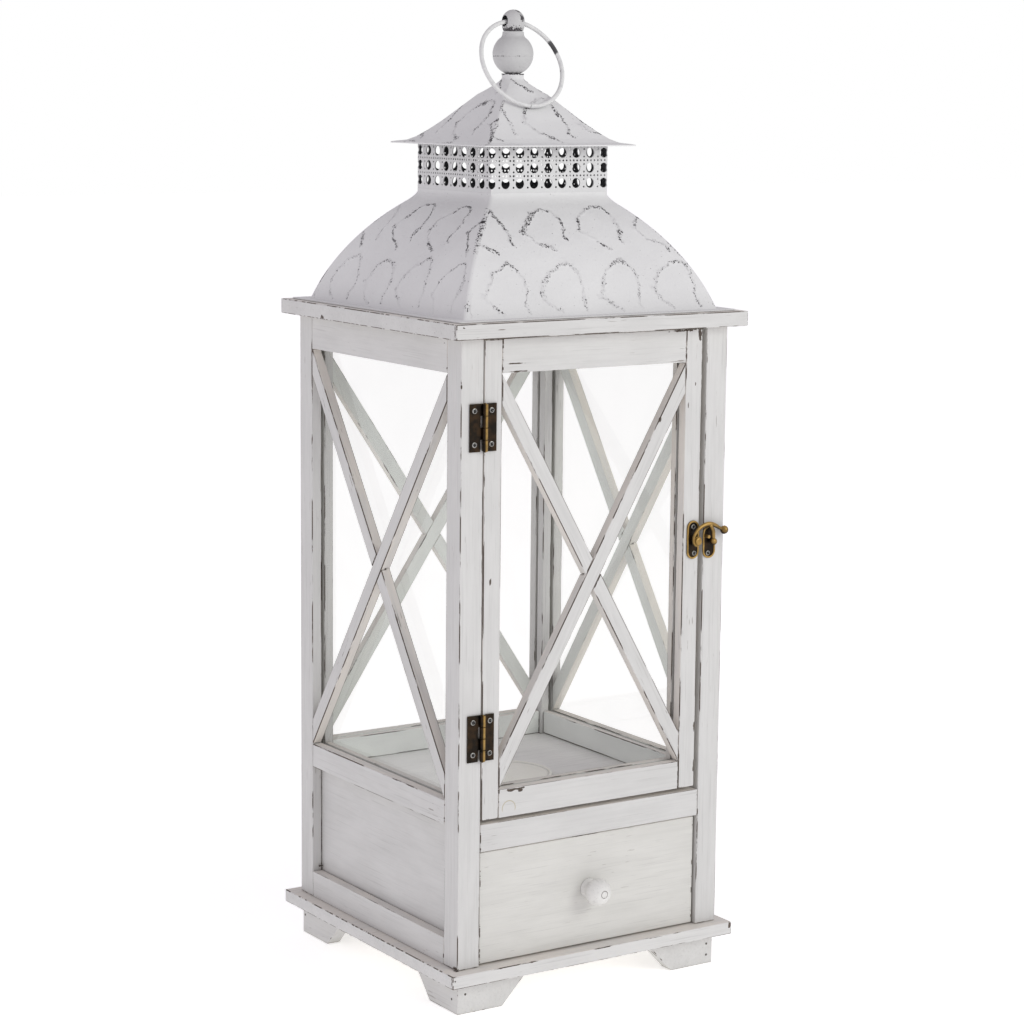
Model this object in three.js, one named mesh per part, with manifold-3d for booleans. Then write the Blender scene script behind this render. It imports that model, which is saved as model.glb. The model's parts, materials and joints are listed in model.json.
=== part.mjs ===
// Candle lantern: a square wooden cabinet with glazed X-braced sides, a hinged front door,
// a drawer below it, and a pressed sheet-metal roof with a perforated vent and a lifting ring.
// Millimetres, +Z up. The front, with the door and the drawer, faces -Y.

import * as THREE from 'three';
import { mergeVertices } from 'three/addons/utils/BufferGeometryUtils.js';
import Module from 'manifold-3d';

const wasm = await Module();
wasm.setup();

// ---------- driving dimensions ----------

const GAP = 0.3; // glue line or running gap between neighbouring pieces

const BODY = 229; // width of the square cabinet over its posts
const POST = 18.3; // square section of the corner posts
const RAIL_THICKNESS = 16;
const BODY_HALF = BODY / 2;
const OPENING_HALF = BODY_HALF - POST; // from the middle of a side to its posts

const FOOT_HEIGHT = 23.4;
const FOOT_OUTER_HALF = 113.4;
const FOOT_THICKNESS = 11;
const FOOT_LENGTH_LOW = 38;
const FOOT_LENGTH_HIGH = 60;

const BASE_WIDTH = 247.5;
const BASE_TOP = 32.9;
const CORNICE_WIDTH = 250;
const CORNICE_BOTTOM = 483.1;
const CORNICE_TOP = 494;
const CORNICE_VENT = 176; // square hole that lets the heat into the roof

const TOP_RAIL_BOTTOM = 458;
const MID_RAIL_TOP = 154;
const MID_RAIL_BOTTOM = 136;
const BOTTOM_RAIL_TOP = 53;
const FRONT_RAIL_TOP = 137.4;
const FRONT_RAIL_BOTTOM = 117.6;

const GROOVE_START = 8; // depth of the glazing groove behind the outer face
const GROOVE_WIDTH = 2.8;
const GROOVE_DEPTH = 5;
const PANE_THICKNESS = 2.2;
const PANE_REACH = GROOVE_DEPTH - 0.6; // how far a pane or panel enters its groove

const BAR_WIDTH = 10.6;
const BAR_DEPTH = 7.6;

const FLOOR_TOP = 135.7;
const FLOOR_THICKNESS = 9;
const CANDLE_PLATE_RADIUS = 35;
const CANDLE_PLATE_HEIGHT = 2.4;
const CANDLE_PLATE_RIM = 2.5;

const DOOR_LEFT = -95.2;
const DOOR_RIGHT = 92;
const DOOR_BOTTOM = 140.6;
const DOOR_TOP = 481.6;
const DOOR_THICKNESS = 16.5;
const DOOR_STILE = 14.3;
const DOOR_WINDOW_BOTTOM = 161;
const DOOR_WINDOW_TOP = 457.8;

const HINGE_PIN_X = -96.3;
const HINGE_PIN_OUT = 2.5; // pin axis in front of the cabinet face
const HINGE_HEIGHT = 33.5;
const HINGE_LEAF_WIDTH = 11.6; // from the pin axis to the leaf's outer edge
const HINGE_LEAF = 1.1;
const HINGE_KNUCKLE_RADIUS = 2.1;
const HINGE_PIN_RADIUS = 0.9;
const HINGE_SEGMENTS = 4;
const HINGE_MIDDLES = { upper: 421.1, lower: 201 };

const DRAWER_HALF = 94.3;
const DRAWER_BOTTOM = 34.2;
const DRAWER_TOP = 116.3;
const DRAWER_RECESS = 2.8;
const DRAWER_FRONT_THICKNESS = 11;
const DRAWER_SIDE_OUTER = 91.5;
const DRAWER_SIDE_THICKNESS = 7;
const DRAWER_SIDE_TOP = 98;
const DRAWER_BACK_Y = 88;
const DRAWER_FLOOR = 3;
const KNOB_HEIGHT = 75.8;
const KNOB_REACH = 20.5;

const LATCH_PIVOT = [87.4, 326.4]; // X and Z of the hook's pivot
const LATCH_PLATE = 1.4;
const HOOK_OUT = 4.6; // middle of the hook in front of the cabinet face
const CATCH_X = 100.9;

const ROOF_FLANGE_HALF = 119;
const ROOF_FOOT_HALF = 108.7;
const ROOF_NECK_HALF = 50;
const ROOF_SHEET = 1.5;
const ROOF_ARC_START = 496;
const ROOF_ARC_END = 574.4;
const ROOF_ARC_SAGITTA = 7.6;
const ROOF_ARC_STEPS = 9;

const VENT_HALF = 50.3;
const VENT_WALL = 1.2;
const VENT_TOP = 611.2;
const VENT_HOLE_RADIUS = 3.6;
const VENT_HOLE_COLUMNS = 8; // column pitches on each side
const VENT_ROWS = [584.9, 595.8, 606.6];

const CAP_BRIM_HALF = 65.4;
const CAP_NECK_HALF = 7.2;
const CAP_NECK_BOTTOM = 659.8;
const CAP_TOP = 662.9;
const CAP_SHEET = 1.2;

const BALL_RADIUS = 15;
const BALL_HEIGHT = 676.8;
const BALL_NECK_RADIUS = 8.8;
const EYE_RADIUS = 8.4;
const EYE_BOTTOM = 693.3;
const EYE_TOP = 708.8;
const EYE_HOLE_RADIUS = 3.8;
const EYE_HOLE_HEIGHT = 700.6;

const RING_RADIUS = 34.5; // to the middle of the wire
const RING_WIRE_RADIUS = 1.6;
const RING_TOP = 700.2;
const RING_LEAN = 26.6; // degrees that it leans forward onto the cap
const RING_SHIFT = -1.2;

// The origin is the middle of the bounding box's underside, and the drawer knob stands out
// further in front than the cornice does.
const FRONT_REACH = BODY_HALF - DRAWER_RECESS + GAP + KNOB_REACH;
const ORIGIN_SHIFT_Y = (FRONT_REACH - CORNICE_WIDTH / 2) / 2;

// ---------- materials ----------

const material = (color, roughness, metalness, extra = {}) =>
  new THREE.MeshStandardMaterial({ color, roughness, metalness, ...extra });

const paintedWood = material(0xdedcd8, 0.75, 0);
const paintedMetal = material(0xe4e2e4, 0.5, 0.2);
const antiqueBrass = material(0x5a4a2c, 0.4, 0.9);
const clearGlass = material(0xeef2f0, 0.05, 0, { transparent: true, opacity: 0.25 });

// ---------- geometry helpers ----------

const radians = THREE.MathUtils.degToRad;

function box(x0, x1, y0, y1, z0, z1) {
  const geometry = new THREE.BoxGeometry(x1 - x0, y1 - y0, z1 - z0);
  return geometry.translate((x0 + x1) / 2, (y0 + y1) / 2, (z0 + z1) / 2);
}

function outline(points) {
  return new THREE.Shape(points.map(([x, y]) => new THREE.Vector2(x, y)));
}

// An outline in X and Y, raised along +Z.
function raised(shape, bottom, top, curveSegments = 8) {
  const settings = { depth: top - bottom, bevelEnabled: false, curveSegments };
  return new THREE.ExtrudeGeometry(shape, settings).translate(0, 0, bottom);
}

// An outline in X and Z, standing as a plate between two depths in Y.
function plate(shape, front, back, curveSegments = 8) {
  return raised(shape, -back, -front, curveSegments).rotateX(Math.PI / 2);
}

// An outline of [y, z] points, drawn out along X.
function drawnAlongX(points, x0, x1) {
  const turnToX = new THREE.Matrix4().set(0, 0, 1, 0, 1, 0, 0, 0, 0, 1, 0, 0, 0, 0, 0, 1);
  return raised(outline(points), x0, x1).applyMatrix4(turnToX);
}

// A closed profile of [half width, height], carried round the four sides of a square.
function squareShell(profile) {
  const corner = profile.map(([half, z]) => new THREE.Vector2(half * Math.SQRT2, z));
  return new THREE.LatheGeometry([...corner, corner[0]], 4, Math.PI / 4).rotateX(Math.PI / 2);
}

// A profile of [radius, height] that starts and ends on the axis, turned about Z.
function turned(profile, segments) {
  const points = profile.map(([radius, z]) => new THREE.Vector2(radius, z));
  return new THREE.LatheGeometry(points, segments).rotateX(Math.PI / 2);
}

function cylinder(radius, length, segments) {
  return new THREE.CylinderGeometry(radius, radius, length, segments);
}

function ball(radius, x, y, z) {
  return new THREE.SphereGeometry(radius, 12, 8).translate(x, y, z);
}

function toSolid(geometry) {
  const bare = geometry.clone();
  bare.deleteAttribute('normal');
  bare.deleteAttribute('uv');
  const merged = mergeVertices(bare, 1e-4);
  const mesh = new wasm.Mesh({
    numProp: 3,
    vertProperties: new Float32Array(merged.attributes.position.array),
    triVerts: new Uint32Array(merged.index.array),
  });
  return new wasm.Manifold(mesh);
}

function toGeometry(solid) {
  const mesh = solid.getMesh();
  const geometry = new THREE.BufferGeometry();
  geometry.setAttribute('position', new THREE.BufferAttribute(new Float32Array(mesh.vertProperties), 3));
  geometry.setIndex(new THREE.BufferAttribute(new Uint32Array(mesh.triVerts), 1));
  geometry.computeVertexNormals();
  return geometry;
}

function joined(geometries) {
  return toGeometry(geometries.map(toSolid).reduce((sum, solid) => sum.add(solid)));
}

function cutFrom(geometry, tools) {
  return toGeometry(tools.map(toSolid).reduce((rest, tool) => rest.subtract(tool), toSolid(geometry)));
}

const lantern = new THREE.Group();
lantern.position.y = ORIGIN_SHIFT_Y;

function add(name, geometry, surface, parent = lantern) {
  const mesh = new THREE.Mesh(geometry, surface);
  mesh.name = name;
  parent.add(mesh);
  return mesh;
}

// ---------- base, feet and posts ----------

// One corner bracket: two boards meeting at the corner, their inner ends cut on a slope.
function foot(signX, signY) {
  const board = outline([
    [0, 0],
    [FOOT_LENGTH_LOW, 0],
    [FOOT_LENGTH_HIGH, FOOT_HEIGHT - GAP],
    [0, FOOT_HEIGHT - GAP],
  ]);
  const front = plate(board, 0, FOOT_THICKNESS);
  const side = plate(board, 0, FOOT_THICKNESS).scale(1, -1, 1).rotateZ(Math.PI / 2);
  const bracket = joined([front, flipped(side)]);
  bracket.translate(-FOOT_OUTER_HALF, -FOOT_OUTER_HALF, 0);
  return mirrored(bracket, -signX, -signY);
}

// Reverses the winding of a geometry that a negative scale has turned inside out.
function flipped(geometry) {
  const plain = geometry.index ? geometry.toNonIndexed() : geometry;
  const position = plain.attributes.position;
  for (let corner = 0; corner < position.count; corner += 3) {
    for (let axis = 0; axis < 3; axis += 1) {
      const kept = position.array[3 * corner + axis];
      position.array[3 * corner + axis] = position.array[3 * (corner + 2) + axis];
      position.array[3 * (corner + 2) + axis] = kept;
    }
  }
  plain.computeVertexNormals();
  return plain;
}

function mirrored(geometry, scaleX, scaleY) {
  const scaled = geometry.clone().scale(scaleX, scaleY, 1);
  return scaleX * scaleY < 0 ? flipped(scaled) : scaled;
}

// The section of a post, from its outer corner: grooves hold the panes and panels of the
// sides that meet there.
function postSection(signX, signY, grooveForFrontOrBack, grooveForSide) {
  const start = GROOVE_START;
  const end = GROOVE_START + GROOVE_WIDTH;
  const depth = POST - GROOVE_DEPTH;
  const towardX = grooveForFrontOrBack ? [[POST, start], [depth, start], [depth, end], [POST, end]] : [];
  const towardY = grooveForSide ? [[end, POST], [end, depth], [start, depth], [start, POST]] : [];
  const corner = [[0, 0], [POST, 0], ...towardX, [POST, POST], ...towardY, [0, POST]];
  return outline(corner.map(([u, v]) => [signX * (BODY_HALF - u), signY * (BODY_HALF - v)]));
}

const corners = [
  { name: 'front_left', signX: -1, signY: -1 },
  { name: 'front_right', signX: 1, signY: -1 },
  { name: 'back_left', signX: -1, signY: 1 },
  { name: 'back_right', signX: 1, signY: 1 },
];

function addStand() {
  const half = BASE_WIDTH / 2;
  add('base_board', box(-half, half, -half, half, FOOT_HEIGHT, BASE_TOP), paintedWood);
  for (const { name, signX, signY } of corners) {
    add(`foot_${name}`, foot(signX, signY), paintedWood);
    const section = postSection(signX, signY, signY > 0, true);
    add(`post_${name}`, raised(section, BASE_TOP + GAP, CORNICE_BOTTOM - GAP), paintedWood);
  }
}

// ---------- the left, right and back sides ----------

// A rail between two posts, with a glazing groove along its top, its bottom or both.
function rail(bottom, top, grooveBelow, grooveAbove) {
  const front = -BODY_HALF;
  const back = front + RAIL_THICKNESS;
  const near = front + GROOVE_START;
  const far = near + GROOVE_WIDTH;
  const above = grooveAbove
    ? [[far, top], [far, top - GROOVE_DEPTH], [near, top - GROOVE_DEPTH], [near, top]]
    : [];
  const below = grooveBelow
    ? [[near, bottom], [near, bottom + GROOVE_DEPTH], [far, bottom + GROOVE_DEPTH], [far, bottom]]
    : [];
  const section = [[front, bottom], ...below, [back, bottom], [back, top], ...above, [front, top]];
  return drawnAlongX(section, -OPENING_HALF + GAP, OPENING_HALF - GAP);
}

// A pane or panel standing in its grooves, between two heights and two edges of the opening.
function pane(x0, x1, z0, z1) {
  const front = -BODY_HALF + GROOVE_START + (GROOVE_WIDTH - PANE_THICKNESS) / 2;
  return box(x0 - PANE_REACH, x1 + PANE_REACH, front, front + PANE_THICKNESS, z0 - PANE_REACH, z1 + PANE_REACH);
}

// The band of one brace on a window, between upright ends: rising from the lower left corner
// to the upper right when slope is 1, and falling when it is -1. spare widens the band.
function braceBand(x0, x1, z0, z1, slope, spare) {
  const run = x1 - x0;
  const steep = Math.atan2(z1 - z0 - BAR_WIDTH, run);
  const end = BAR_WIDTH / Math.cos(steep);
  const extra = spare / Math.cos(steep);
  const low = [z0 - extra, z0 + end + extra];
  const high = [z1 - end - extra, z1 + extra];
  const [left, right] = slope > 0 ? [low, high] : [high, low];
  return outline([[x0, left[0]], [x1, right[0]], [x1, right[1]], [x0, left[1]]]);
}

// Two braces crossing in a half-lap: the rising one shows its whole face.
function braces(x0, x1, z0, z1) {
  const front = -BODY_HALF;
  const back = front + BAR_DEPTH;
  const middle = (front + back) / 2;
  const inside = [x0 + GAP, x1 - GAP, z0 + GAP, z1 - GAP];
  const rising = plate(braceBand(...inside, 1, 0), front, back);
  const falling = plate(braceBand(...inside, -1, 0), front, back);
  const wideRising = plate(braceBand(...inside, 1, GAP), front - 1, middle + GAP / 2);
  const wideFalling = plate(braceBand(...inside, -1, GAP), middle - GAP / 2, back + 1);
  return { rising: cutFrom(rising, [wideFalling]), falling: cutFrom(falling, [wideRising]) };
}

const sides = [
  { name: 'right', turn: 90 },
  { name: 'back', turn: 180 },
  { name: 'left', turn: -90 },
];

function addSides() {
  const half = OPENING_HALF;
  for (const { name, turn } of sides) {
    const side = new THREE.Group();
    side.rotation.z = radians(turn);
    lantern.add(side);
    add(`top_rail_${name}`, rail(TOP_RAIL_BOTTOM, CORNICE_BOTTOM - GAP, true, false), paintedWood, side);
    add(`mid_rail_${name}`, rail(MID_RAIL_BOTTOM, MID_RAIL_TOP, true, true), paintedWood, side);
    add(`bottom_rail_${name}`, rail(BASE_TOP + GAP, BOTTOM_RAIL_TOP, false, true), paintedWood, side);
    add(`panel_${name}`, pane(-half, half, BOTTOM_RAIL_TOP, MID_RAIL_BOTTOM), paintedWood, side);
    add(`glass_${name}`, pane(-half, half, MID_RAIL_TOP, TOP_RAIL_BOTTOM), clearGlass, side);
    const { rising, falling } = braces(-half, half, MID_RAIL_TOP, TOP_RAIL_BOTTOM);
    add(`brace_rising_${name}`, rising, paintedWood, side);
    add(`brace_falling_${name}`, falling, paintedWood, side);
  }
}

// ---------- inside of the cabinet ----------

// The chamber's floor, notched at its corners round the posts.
function floorBoard() {
  const front = -BODY_HALF + RAIL_THICKNESS + GAP;
  const reach = BODY_HALF - GROOVE_START - GROOVE_WIDTH - GAP;
  const post = OPENING_HALF - GAP;
  const shape = outline([
    [-post, front], [post, front], [post, -post], [reach, -post], [reach, post], [post, post],
    [post, reach], [-post, reach], [-post, post], [-reach, post], [-reach, -post], [-post, -post],
  ]);
  return raised(shape, FLOOR_TOP - FLOOR_THICKNESS, FLOOR_TOP);
}

// A shallow round dish that the candle stands on.
function candlePlate() {
  const bottom = FLOOR_TOP + GAP;
  const dish = bottom + CANDLE_PLATE_HEIGHT / 2;
  const top = bottom + CANDLE_PLATE_HEIGHT;
  const rim = CANDLE_PLATE_RADIUS - CANDLE_PLATE_RIM;
  const outer = CANDLE_PLATE_RADIUS;
  return turned([[0, bottom], [outer, bottom], [outer, top - 0.6], [outer - 0.6, top], [rim, top],
    [rim - 1, dish], [0, dish]], 32);
}

function addInside() {
  add('floor_board', floorBoard(), paintedWood);
  add('candle_plate', candlePlate(), paintedMetal);
  const front = -BODY_HALF;
  const half = OPENING_HALF - GAP;
  const depth = front + RAIL_THICKNESS;
  add('mid_rail_front', box(-half, half, front, depth, FRONT_RAIL_BOTTOM, FRONT_RAIL_TOP), paintedWood);
}

// ---------- cornice ----------

function cornice() {
  const half = CORNICE_WIDTH / 2;
  const vent = CORNICE_VENT / 2;
  const board = outline([[-half, -half], [half, -half], [half, half], [-half, half]]);
  board.holes.push(new THREE.Path(
    [[-vent, -vent], [-vent, vent], [vent, vent], [vent, -vent]].map(([x, y]) => new THREE.Vector2(x, y)),
  ));
  return raised(board, CORNICE_BOTTOM, CORNICE_TOP);
}

// ---------- door ----------

function doorStile(outerX, innerX) {
  const front = -BODY_HALF;
  const back = front + DOOR_THICKNESS;
  const near = front + GROOVE_START;
  const far = near + GROOVE_WIDTH;
  const into = innerX + Math.sign(outerX - innerX) * GROOVE_DEPTH;
  const section = outline([
    [outerX, front], [innerX, front], [innerX, near], [into, near], [into, far], [innerX, far],
    [innerX, back], [outerX, back],
  ]);
  return raised(section, DOOR_BOTTOM, DOOR_TOP);
}

function doorRail(outerZ, innerZ) {
  const front = -BODY_HALF;
  const back = front + DOOR_THICKNESS;
  const near = front + GROOVE_START;
  const far = near + GROOVE_WIDTH;
  const into = innerZ + Math.sign(outerZ - innerZ) * GROOVE_DEPTH;
  const section = [
    [front, outerZ], [front, innerZ], [near, innerZ], [near, into], [far, into], [far, innerZ],
    [back, innerZ], [back, outerZ],
  ];
  return drawnAlongX(section, DOOR_LEFT + DOOR_STILE + GAP, DOOR_RIGHT - DOOR_STILE - GAP);
}

function addDoor() {
  const left = DOOR_LEFT + DOOR_STILE;
  const right = DOOR_RIGHT - DOOR_STILE;
  add('door_stile_left', doorStile(DOOR_LEFT, left), paintedWood);
  add('door_stile_right', doorStile(DOOR_RIGHT, right), paintedWood);
  add('door_rail_top', doorRail(DOOR_TOP, DOOR_WINDOW_TOP), paintedWood);
  add('door_rail_bottom', doorRail(DOOR_BOTTOM, DOOR_WINDOW_BOTTOM), paintedWood);
  add('door_glass', pane(left, right, DOOR_WINDOW_BOTTOM, DOOR_WINDOW_TOP), clearGlass);
  const { rising, falling } = braces(left, right, DOOR_WINDOW_BOTTOM, DOOR_WINDOW_TOP);
  add('door_brace_rising', rising, paintedWood);
  add('door_brace_falling', falling, paintedWood);
}

// ---------- butt hinges ----------

// One leaf of a hinge with every second knuckle. side is -1 on the post and 1 on the door;
// first is the topmost knuckle segment that the leaf owns, counted from 0.
function hingeLeaf(middle, side, first, withPin) {
  const face = -BODY_HALF - GAP;
  const pinY = -BODY_HALF - HINGE_PIN_OUT;
  const top = middle + HINGE_HEIGHT / 2;
  const segment = HINGE_HEIGHT / HINGE_SEGMENTS;
  const clear = HINGE_PIN_X + side * (HINGE_KNUCKLE_RADIUS + GAP);
  const edge = HINGE_PIN_X + side * HINGE_LEAF_WIDTH;
  const low = middle - HINGE_HEIGHT / 2;
  const across = (a, b) => [Math.min(a, b), Math.max(a, b)];
  const pieces = [box(...across(clear, edge), face - HINGE_LEAF, face, low, top)];
  for (let index = first; index < HINGE_SEGMENTS; index += 2) {
    const upper = top - index * segment - (index > 0 ? GAP / 2 : 0);
    const lower = top - (index + 1) * segment + (index < HINGE_SEGMENTS - 1 ? GAP / 2 : 0);
    const knuckle = cylinder(HINGE_KNUCKLE_RADIUS, upper - lower, 14).rotateX(Math.PI / 2);
    pieces.push(knuckle.translate(HINGE_PIN_X, pinY, (upper + lower) / 2));
    const inner = HINGE_PIN_X + side * HINGE_PIN_RADIUS * 1.6;
    pieces.push(box(...across(inner, clear + side), face - HINGE_LEAF, face, lower, upper));
  }
  const pin = (radius, length) =>
    cylinder(radius, length, 10).rotateX(Math.PI / 2).translate(HINGE_PIN_X, pinY, middle);
  if (withPin) {
    return joined([...pieces, pin(HINGE_PIN_RADIUS, HINGE_HEIGHT + 1)]);
  }
  return cutFrom(joined(pieces), [pin(HINGE_PIN_RADIUS + GAP, HINGE_HEIGHT + 4)]);
}

function addHinges() {
  for (const [name, middle] of Object.entries(HINGE_MIDDLES)) {
    add(`hinge_${name}_post_leaf`, hingeLeaf(middle, -1, 0, true), antiqueBrass);
    add(`hinge_${name}_door_leaf`, hingeLeaf(middle, 1, 1, false), antiqueBrass);
  }
}

// ---------- swing hook latch ----------

function roundEnded(centreX, bottom, top, width) {
  const radius = width / 2;
  const shape = new THREE.Shape();
  shape.absarc(centreX, top - radius, radius, 0, Math.PI);
  shape.absarc(centreX, bottom + radius, radius, Math.PI, 2 * Math.PI);
  return shape;
}

// A short pin standing out of the face at X and Z, between two distances from the face.
function stud(radius, x, z, from, to) {
  const length = to - from;
  return cylinder(radius, length, 12).translate(x, -BODY_HALF - from - length / 2, z);
}

function latchPlate() {
  const [x, z] = LATCH_PIVOT;
  const back = -BODY_HALF - GAP;
  const backing = plate(roundEnded(x - 1.2, z - 13.6, z + 14.8, 10.6), back - LATCH_PLATE, back);
  const rivet = stud(1.5, x, z, 1, HOOK_OUT + 2);
  const head = stud(2.8, x, z, HOOK_OUT + 1.6, HOOK_OUT + 2.6);
  return joined([backing, rivet, head]);
}

function latchCatch() {
  const [, z] = LATCH_PIVOT;
  const back = -BODY_HALF - GAP;
  const backing = plate(roundEnded(CATCH_X, z - 14.2, z + 9.8, 11.2), back - LATCH_PLATE, back);
  const peg = stud(1.3, CATCH_X - 3.5, z + 2.6, 1, HOOK_OUT + 1.4);
  return joined([backing, peg]);
}

// A bent round bar through points of [x, z] measured from the pivot.
function bentBar(points, radius, steps) {
  const y = -BODY_HALF - HOOK_OUT;
  const [px, pz] = LATCH_PIVOT;
  const path = new THREE.CatmullRomCurve3(points.map(([x, z]) => new THREE.Vector3(px + x, y, pz + z)));
  const section = new THREE.Shape().absarc(0, 0, radius, 0, 2 * Math.PI);
  return new THREE.ExtrudeGeometry(section, { steps, extrudePath: path, curveSegments: 4 });
}

function latchHook() {
  const y = -BODY_HALF - HOOK_OUT;
  const [px, pz] = LATCH_PIVOT;
  const arm = bentBar([[-2.2, -3], [-3.6, -0.6], [-3.1, 3.4], [-0.8, 6.9], [2.5, 9.8], [6.4, 11.4],
    [11.1, 11.9], [15.8, 10.6], [20, 8.4], [24, 6.7]], 1.25, 18);
  const prong = bentBar([[12.8, 11.2], [13.9, 6], [14.6, -0.8]], 1.3, 4);
  const thumb = ball(3.1, px + 24.5, y, pz + 6.5);
  const tip = ball(2.7, px + 14.7, y, pz - 1.4);
  const eye = stud(3.4, px, pz, HOOK_OUT - 1.2, HOOK_OUT + 1.2);
  const bore = stud(1.8, px, pz, HOOK_OUT - 4, HOOK_OUT + 4);
  return cutFrom(joined([arm, prong, thumb, tip, eye]), [bore]);
}

function addLatch() {
  add('latch_plate', latchPlate(), antiqueBrass);
  add('latch_hook', latchHook(), antiqueBrass);
  add('latch_catch', latchCatch(), antiqueBrass);
}

// ---------- drawer ----------

// A turned wooden knob: a short neck and a rounded head with a small flat face.
function drawerKnob(faceY) {
  const neck = 6.2;
  const head = 9.9;
  const profile = [[0, 0], [neck + 1, 0], [neck, 2.5], [neck, 5], [head - 1.8, 7], [head, 10.5],
    [head, 13.5], [head - 1.6, 17], [head - 4.4, 19.4], [head - 6.4, KNOB_REACH], [0, KNOB_REACH]];
  return turned(profile, 20).rotateX(Math.PI / 2).translate(0, faceY - GAP, KNOB_HEIGHT);
}

function addDrawer() {
  const front = -BODY_HALF + DRAWER_RECESS;
  const boxFront = front + DRAWER_FRONT_THICKNESS + GAP;
  const outer = DRAWER_SIDE_OUTER;
  const inner = outer - DRAWER_SIDE_THICKNESS;
  const bottom = DRAWER_BOTTOM;
  const top = DRAWER_SIDE_TOP;
  const frontBoard = box(-DRAWER_HALF, DRAWER_HALF, front, boxFront - GAP, bottom, DRAWER_TOP);
  const backStart = DRAWER_BACK_Y - DRAWER_SIDE_THICKNESS;
  const between = inner - GAP;
  add('drawer_front', frontBoard, paintedWood);
  add('drawer_side_left', box(-outer, -inner, boxFront, DRAWER_BACK_Y, bottom, top), paintedWood);
  add('drawer_side_right', box(inner, outer, boxFront, DRAWER_BACK_Y, bottom, top), paintedWood);
  add('drawer_back', box(-between, between, backStart, DRAWER_BACK_Y, bottom, top), paintedWood);
  const floorBottom = bottom + 1;
  const floor = box(-between, between, boxFront, backStart - GAP, floorBottom, floorBottom + DRAWER_FLOOR);
  add('drawer_bottom', floor, paintedWood);
  add('drawer_knob', drawerKnob(front), paintedWood);
}

// ---------- roof ----------

// The outward bulging profile of the dome, as an arc between its foot and its neck. inset
// moves the line inward, for the inside of the sheet.
function domeArc(inset) {
  const foot = new THREE.Vector2(ROOF_FOOT_HALF, ROOF_ARC_START);
  const neck = new THREE.Vector2(ROOF_NECK_HALF, ROOF_ARC_END);
  const chord = neck.distanceTo(foot);
  const radius = chord ** 2 / (8 * ROOF_ARC_SAGITTA) + ROOF_ARC_SAGITTA / 2;
  const along = neck.clone().sub(foot).normalize();
  const outward = new THREE.Vector2(along.y, -along.x);
  const middle = foot.clone().add(neck).multiplyScalar(0.5);
  const centre = middle.addScaledVector(outward, ROOF_ARC_SAGITTA - radius);
  const half = Math.asin(chord / 2 / radius);
  const points = [];
  for (let step = 0; step <= ROOF_ARC_STEPS; step += 1) {
    const angle = half * (2 * step / ROOF_ARC_STEPS - 1);
    const point = centre.clone().addScaledVector(outward, (radius - inset) * Math.cos(angle));
    point.addScaledVector(along, (radius - inset) * Math.sin(angle));
    points.push([point.x, point.y]);
  }
  return points;
}

function roofDome() {
  const bottom = CORNICE_TOP + GAP;
  const flangeTop = bottom + ROOF_SHEET;
  const outside = domeArc(0).map(([half, z]) => [half, Math.max(z, flangeTop)]);
  const inside = domeArc(ROOF_SHEET).reverse().slice(0, -1);
  const insideFoot = [ROOF_FOOT_HALF - 1.2 * ROOF_SHEET, bottom];
  return squareShell([[ROOF_FLANGE_HALF, bottom], [ROOF_FLANGE_HALF, flangeTop],
    [ROOF_FOOT_HALF + 0.8, flangeTop], ...outside.slice(1), ...inside, insideFoot]);
}

function ventCollar() {
  const bottom = ROOF_ARC_END + GAP;
  const inner = VENT_HALF - VENT_WALL;
  const shell = squareShell([[VENT_HALF, bottom], [VENT_HALF, VENT_TOP], [inner, VENT_TOP], [inner, bottom]]);
  const pitch = 2 * VENT_HALF / VENT_HOLE_COLUMNS;
  const holes = [];
  for (const z of VENT_ROWS) {
    for (let column = 0.5; column < VENT_HOLE_COLUMNS; column += 1) {
      const along = column * pitch - VENT_HALF;
      const through = cylinder(VENT_HOLE_RADIUS, 2 * VENT_HALF + 4, 8);
      holes.push(through.clone().translate(along, 0, z));
      holes.push(through.clone().rotateZ(Math.PI / 2).translate(0, along, z));
    }
  }
  return cutFrom(shell, holes);
}

// The outside of the cap from its brim up its slightly hollow slope, as [half width, height].
const CAP_SLOPE = [[CAP_BRIM_HALF, 612.6], [56.5, 613.8], [51.5, 616.4], [45.5, 621.2], [37.5, 628.6],
  [CAP_NECK_HALF, CAP_NECK_BOTTOM]];

function roofCap() {
  const inside = CAP_SLOPE.map(([half, z]) => [half - 0.3 * CAP_SHEET, z - CAP_SHEET]).reverse();
  const neckInside = CAP_NECK_HALF - CAP_SHEET;
  const rim = [CAP_BRIM_HALF, CAP_SLOPE[0][1] - CAP_SHEET];
  return squareShell([rim, ...CAP_SLOPE, [CAP_NECK_HALF, CAP_TOP], [neckInside, CAP_TOP],
    [neckInside, CAP_NECK_BOTTOM - CAP_SHEET], ...inside.slice(1, -1)]);
}

// The wooden ball, its stem standing in the cap's neck and a cup for the eye on top.
function finialBall() {
  const stem = CAP_NECK_HALF - CAP_SHEET - 0.8;
  const profile = [[0, CAP_NECK_BOTTOM - 4], [stem, CAP_NECK_BOTTOM - 4], [stem, CAP_TOP + GAP]];
  const steps = 10;
  const from = -Math.acos((stem + 2.2) / BALL_RADIUS);
  const to = Math.acos(BALL_NECK_RADIUS / BALL_RADIUS);
  for (let step = 0; step <= steps; step += 1) {
    const angle = from + (to - from) * step / steps;
    profile.push([BALL_RADIUS * Math.cos(angle), BALL_HEIGHT + BALL_RADIUS * Math.sin(angle)]);
  }
  const cupTop = EYE_BOTTOM - GAP;
  profile.push([BALL_NECK_RADIUS - 0.2, cupTop], [0, cupTop]);
  return turned(profile, 20);
}

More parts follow.
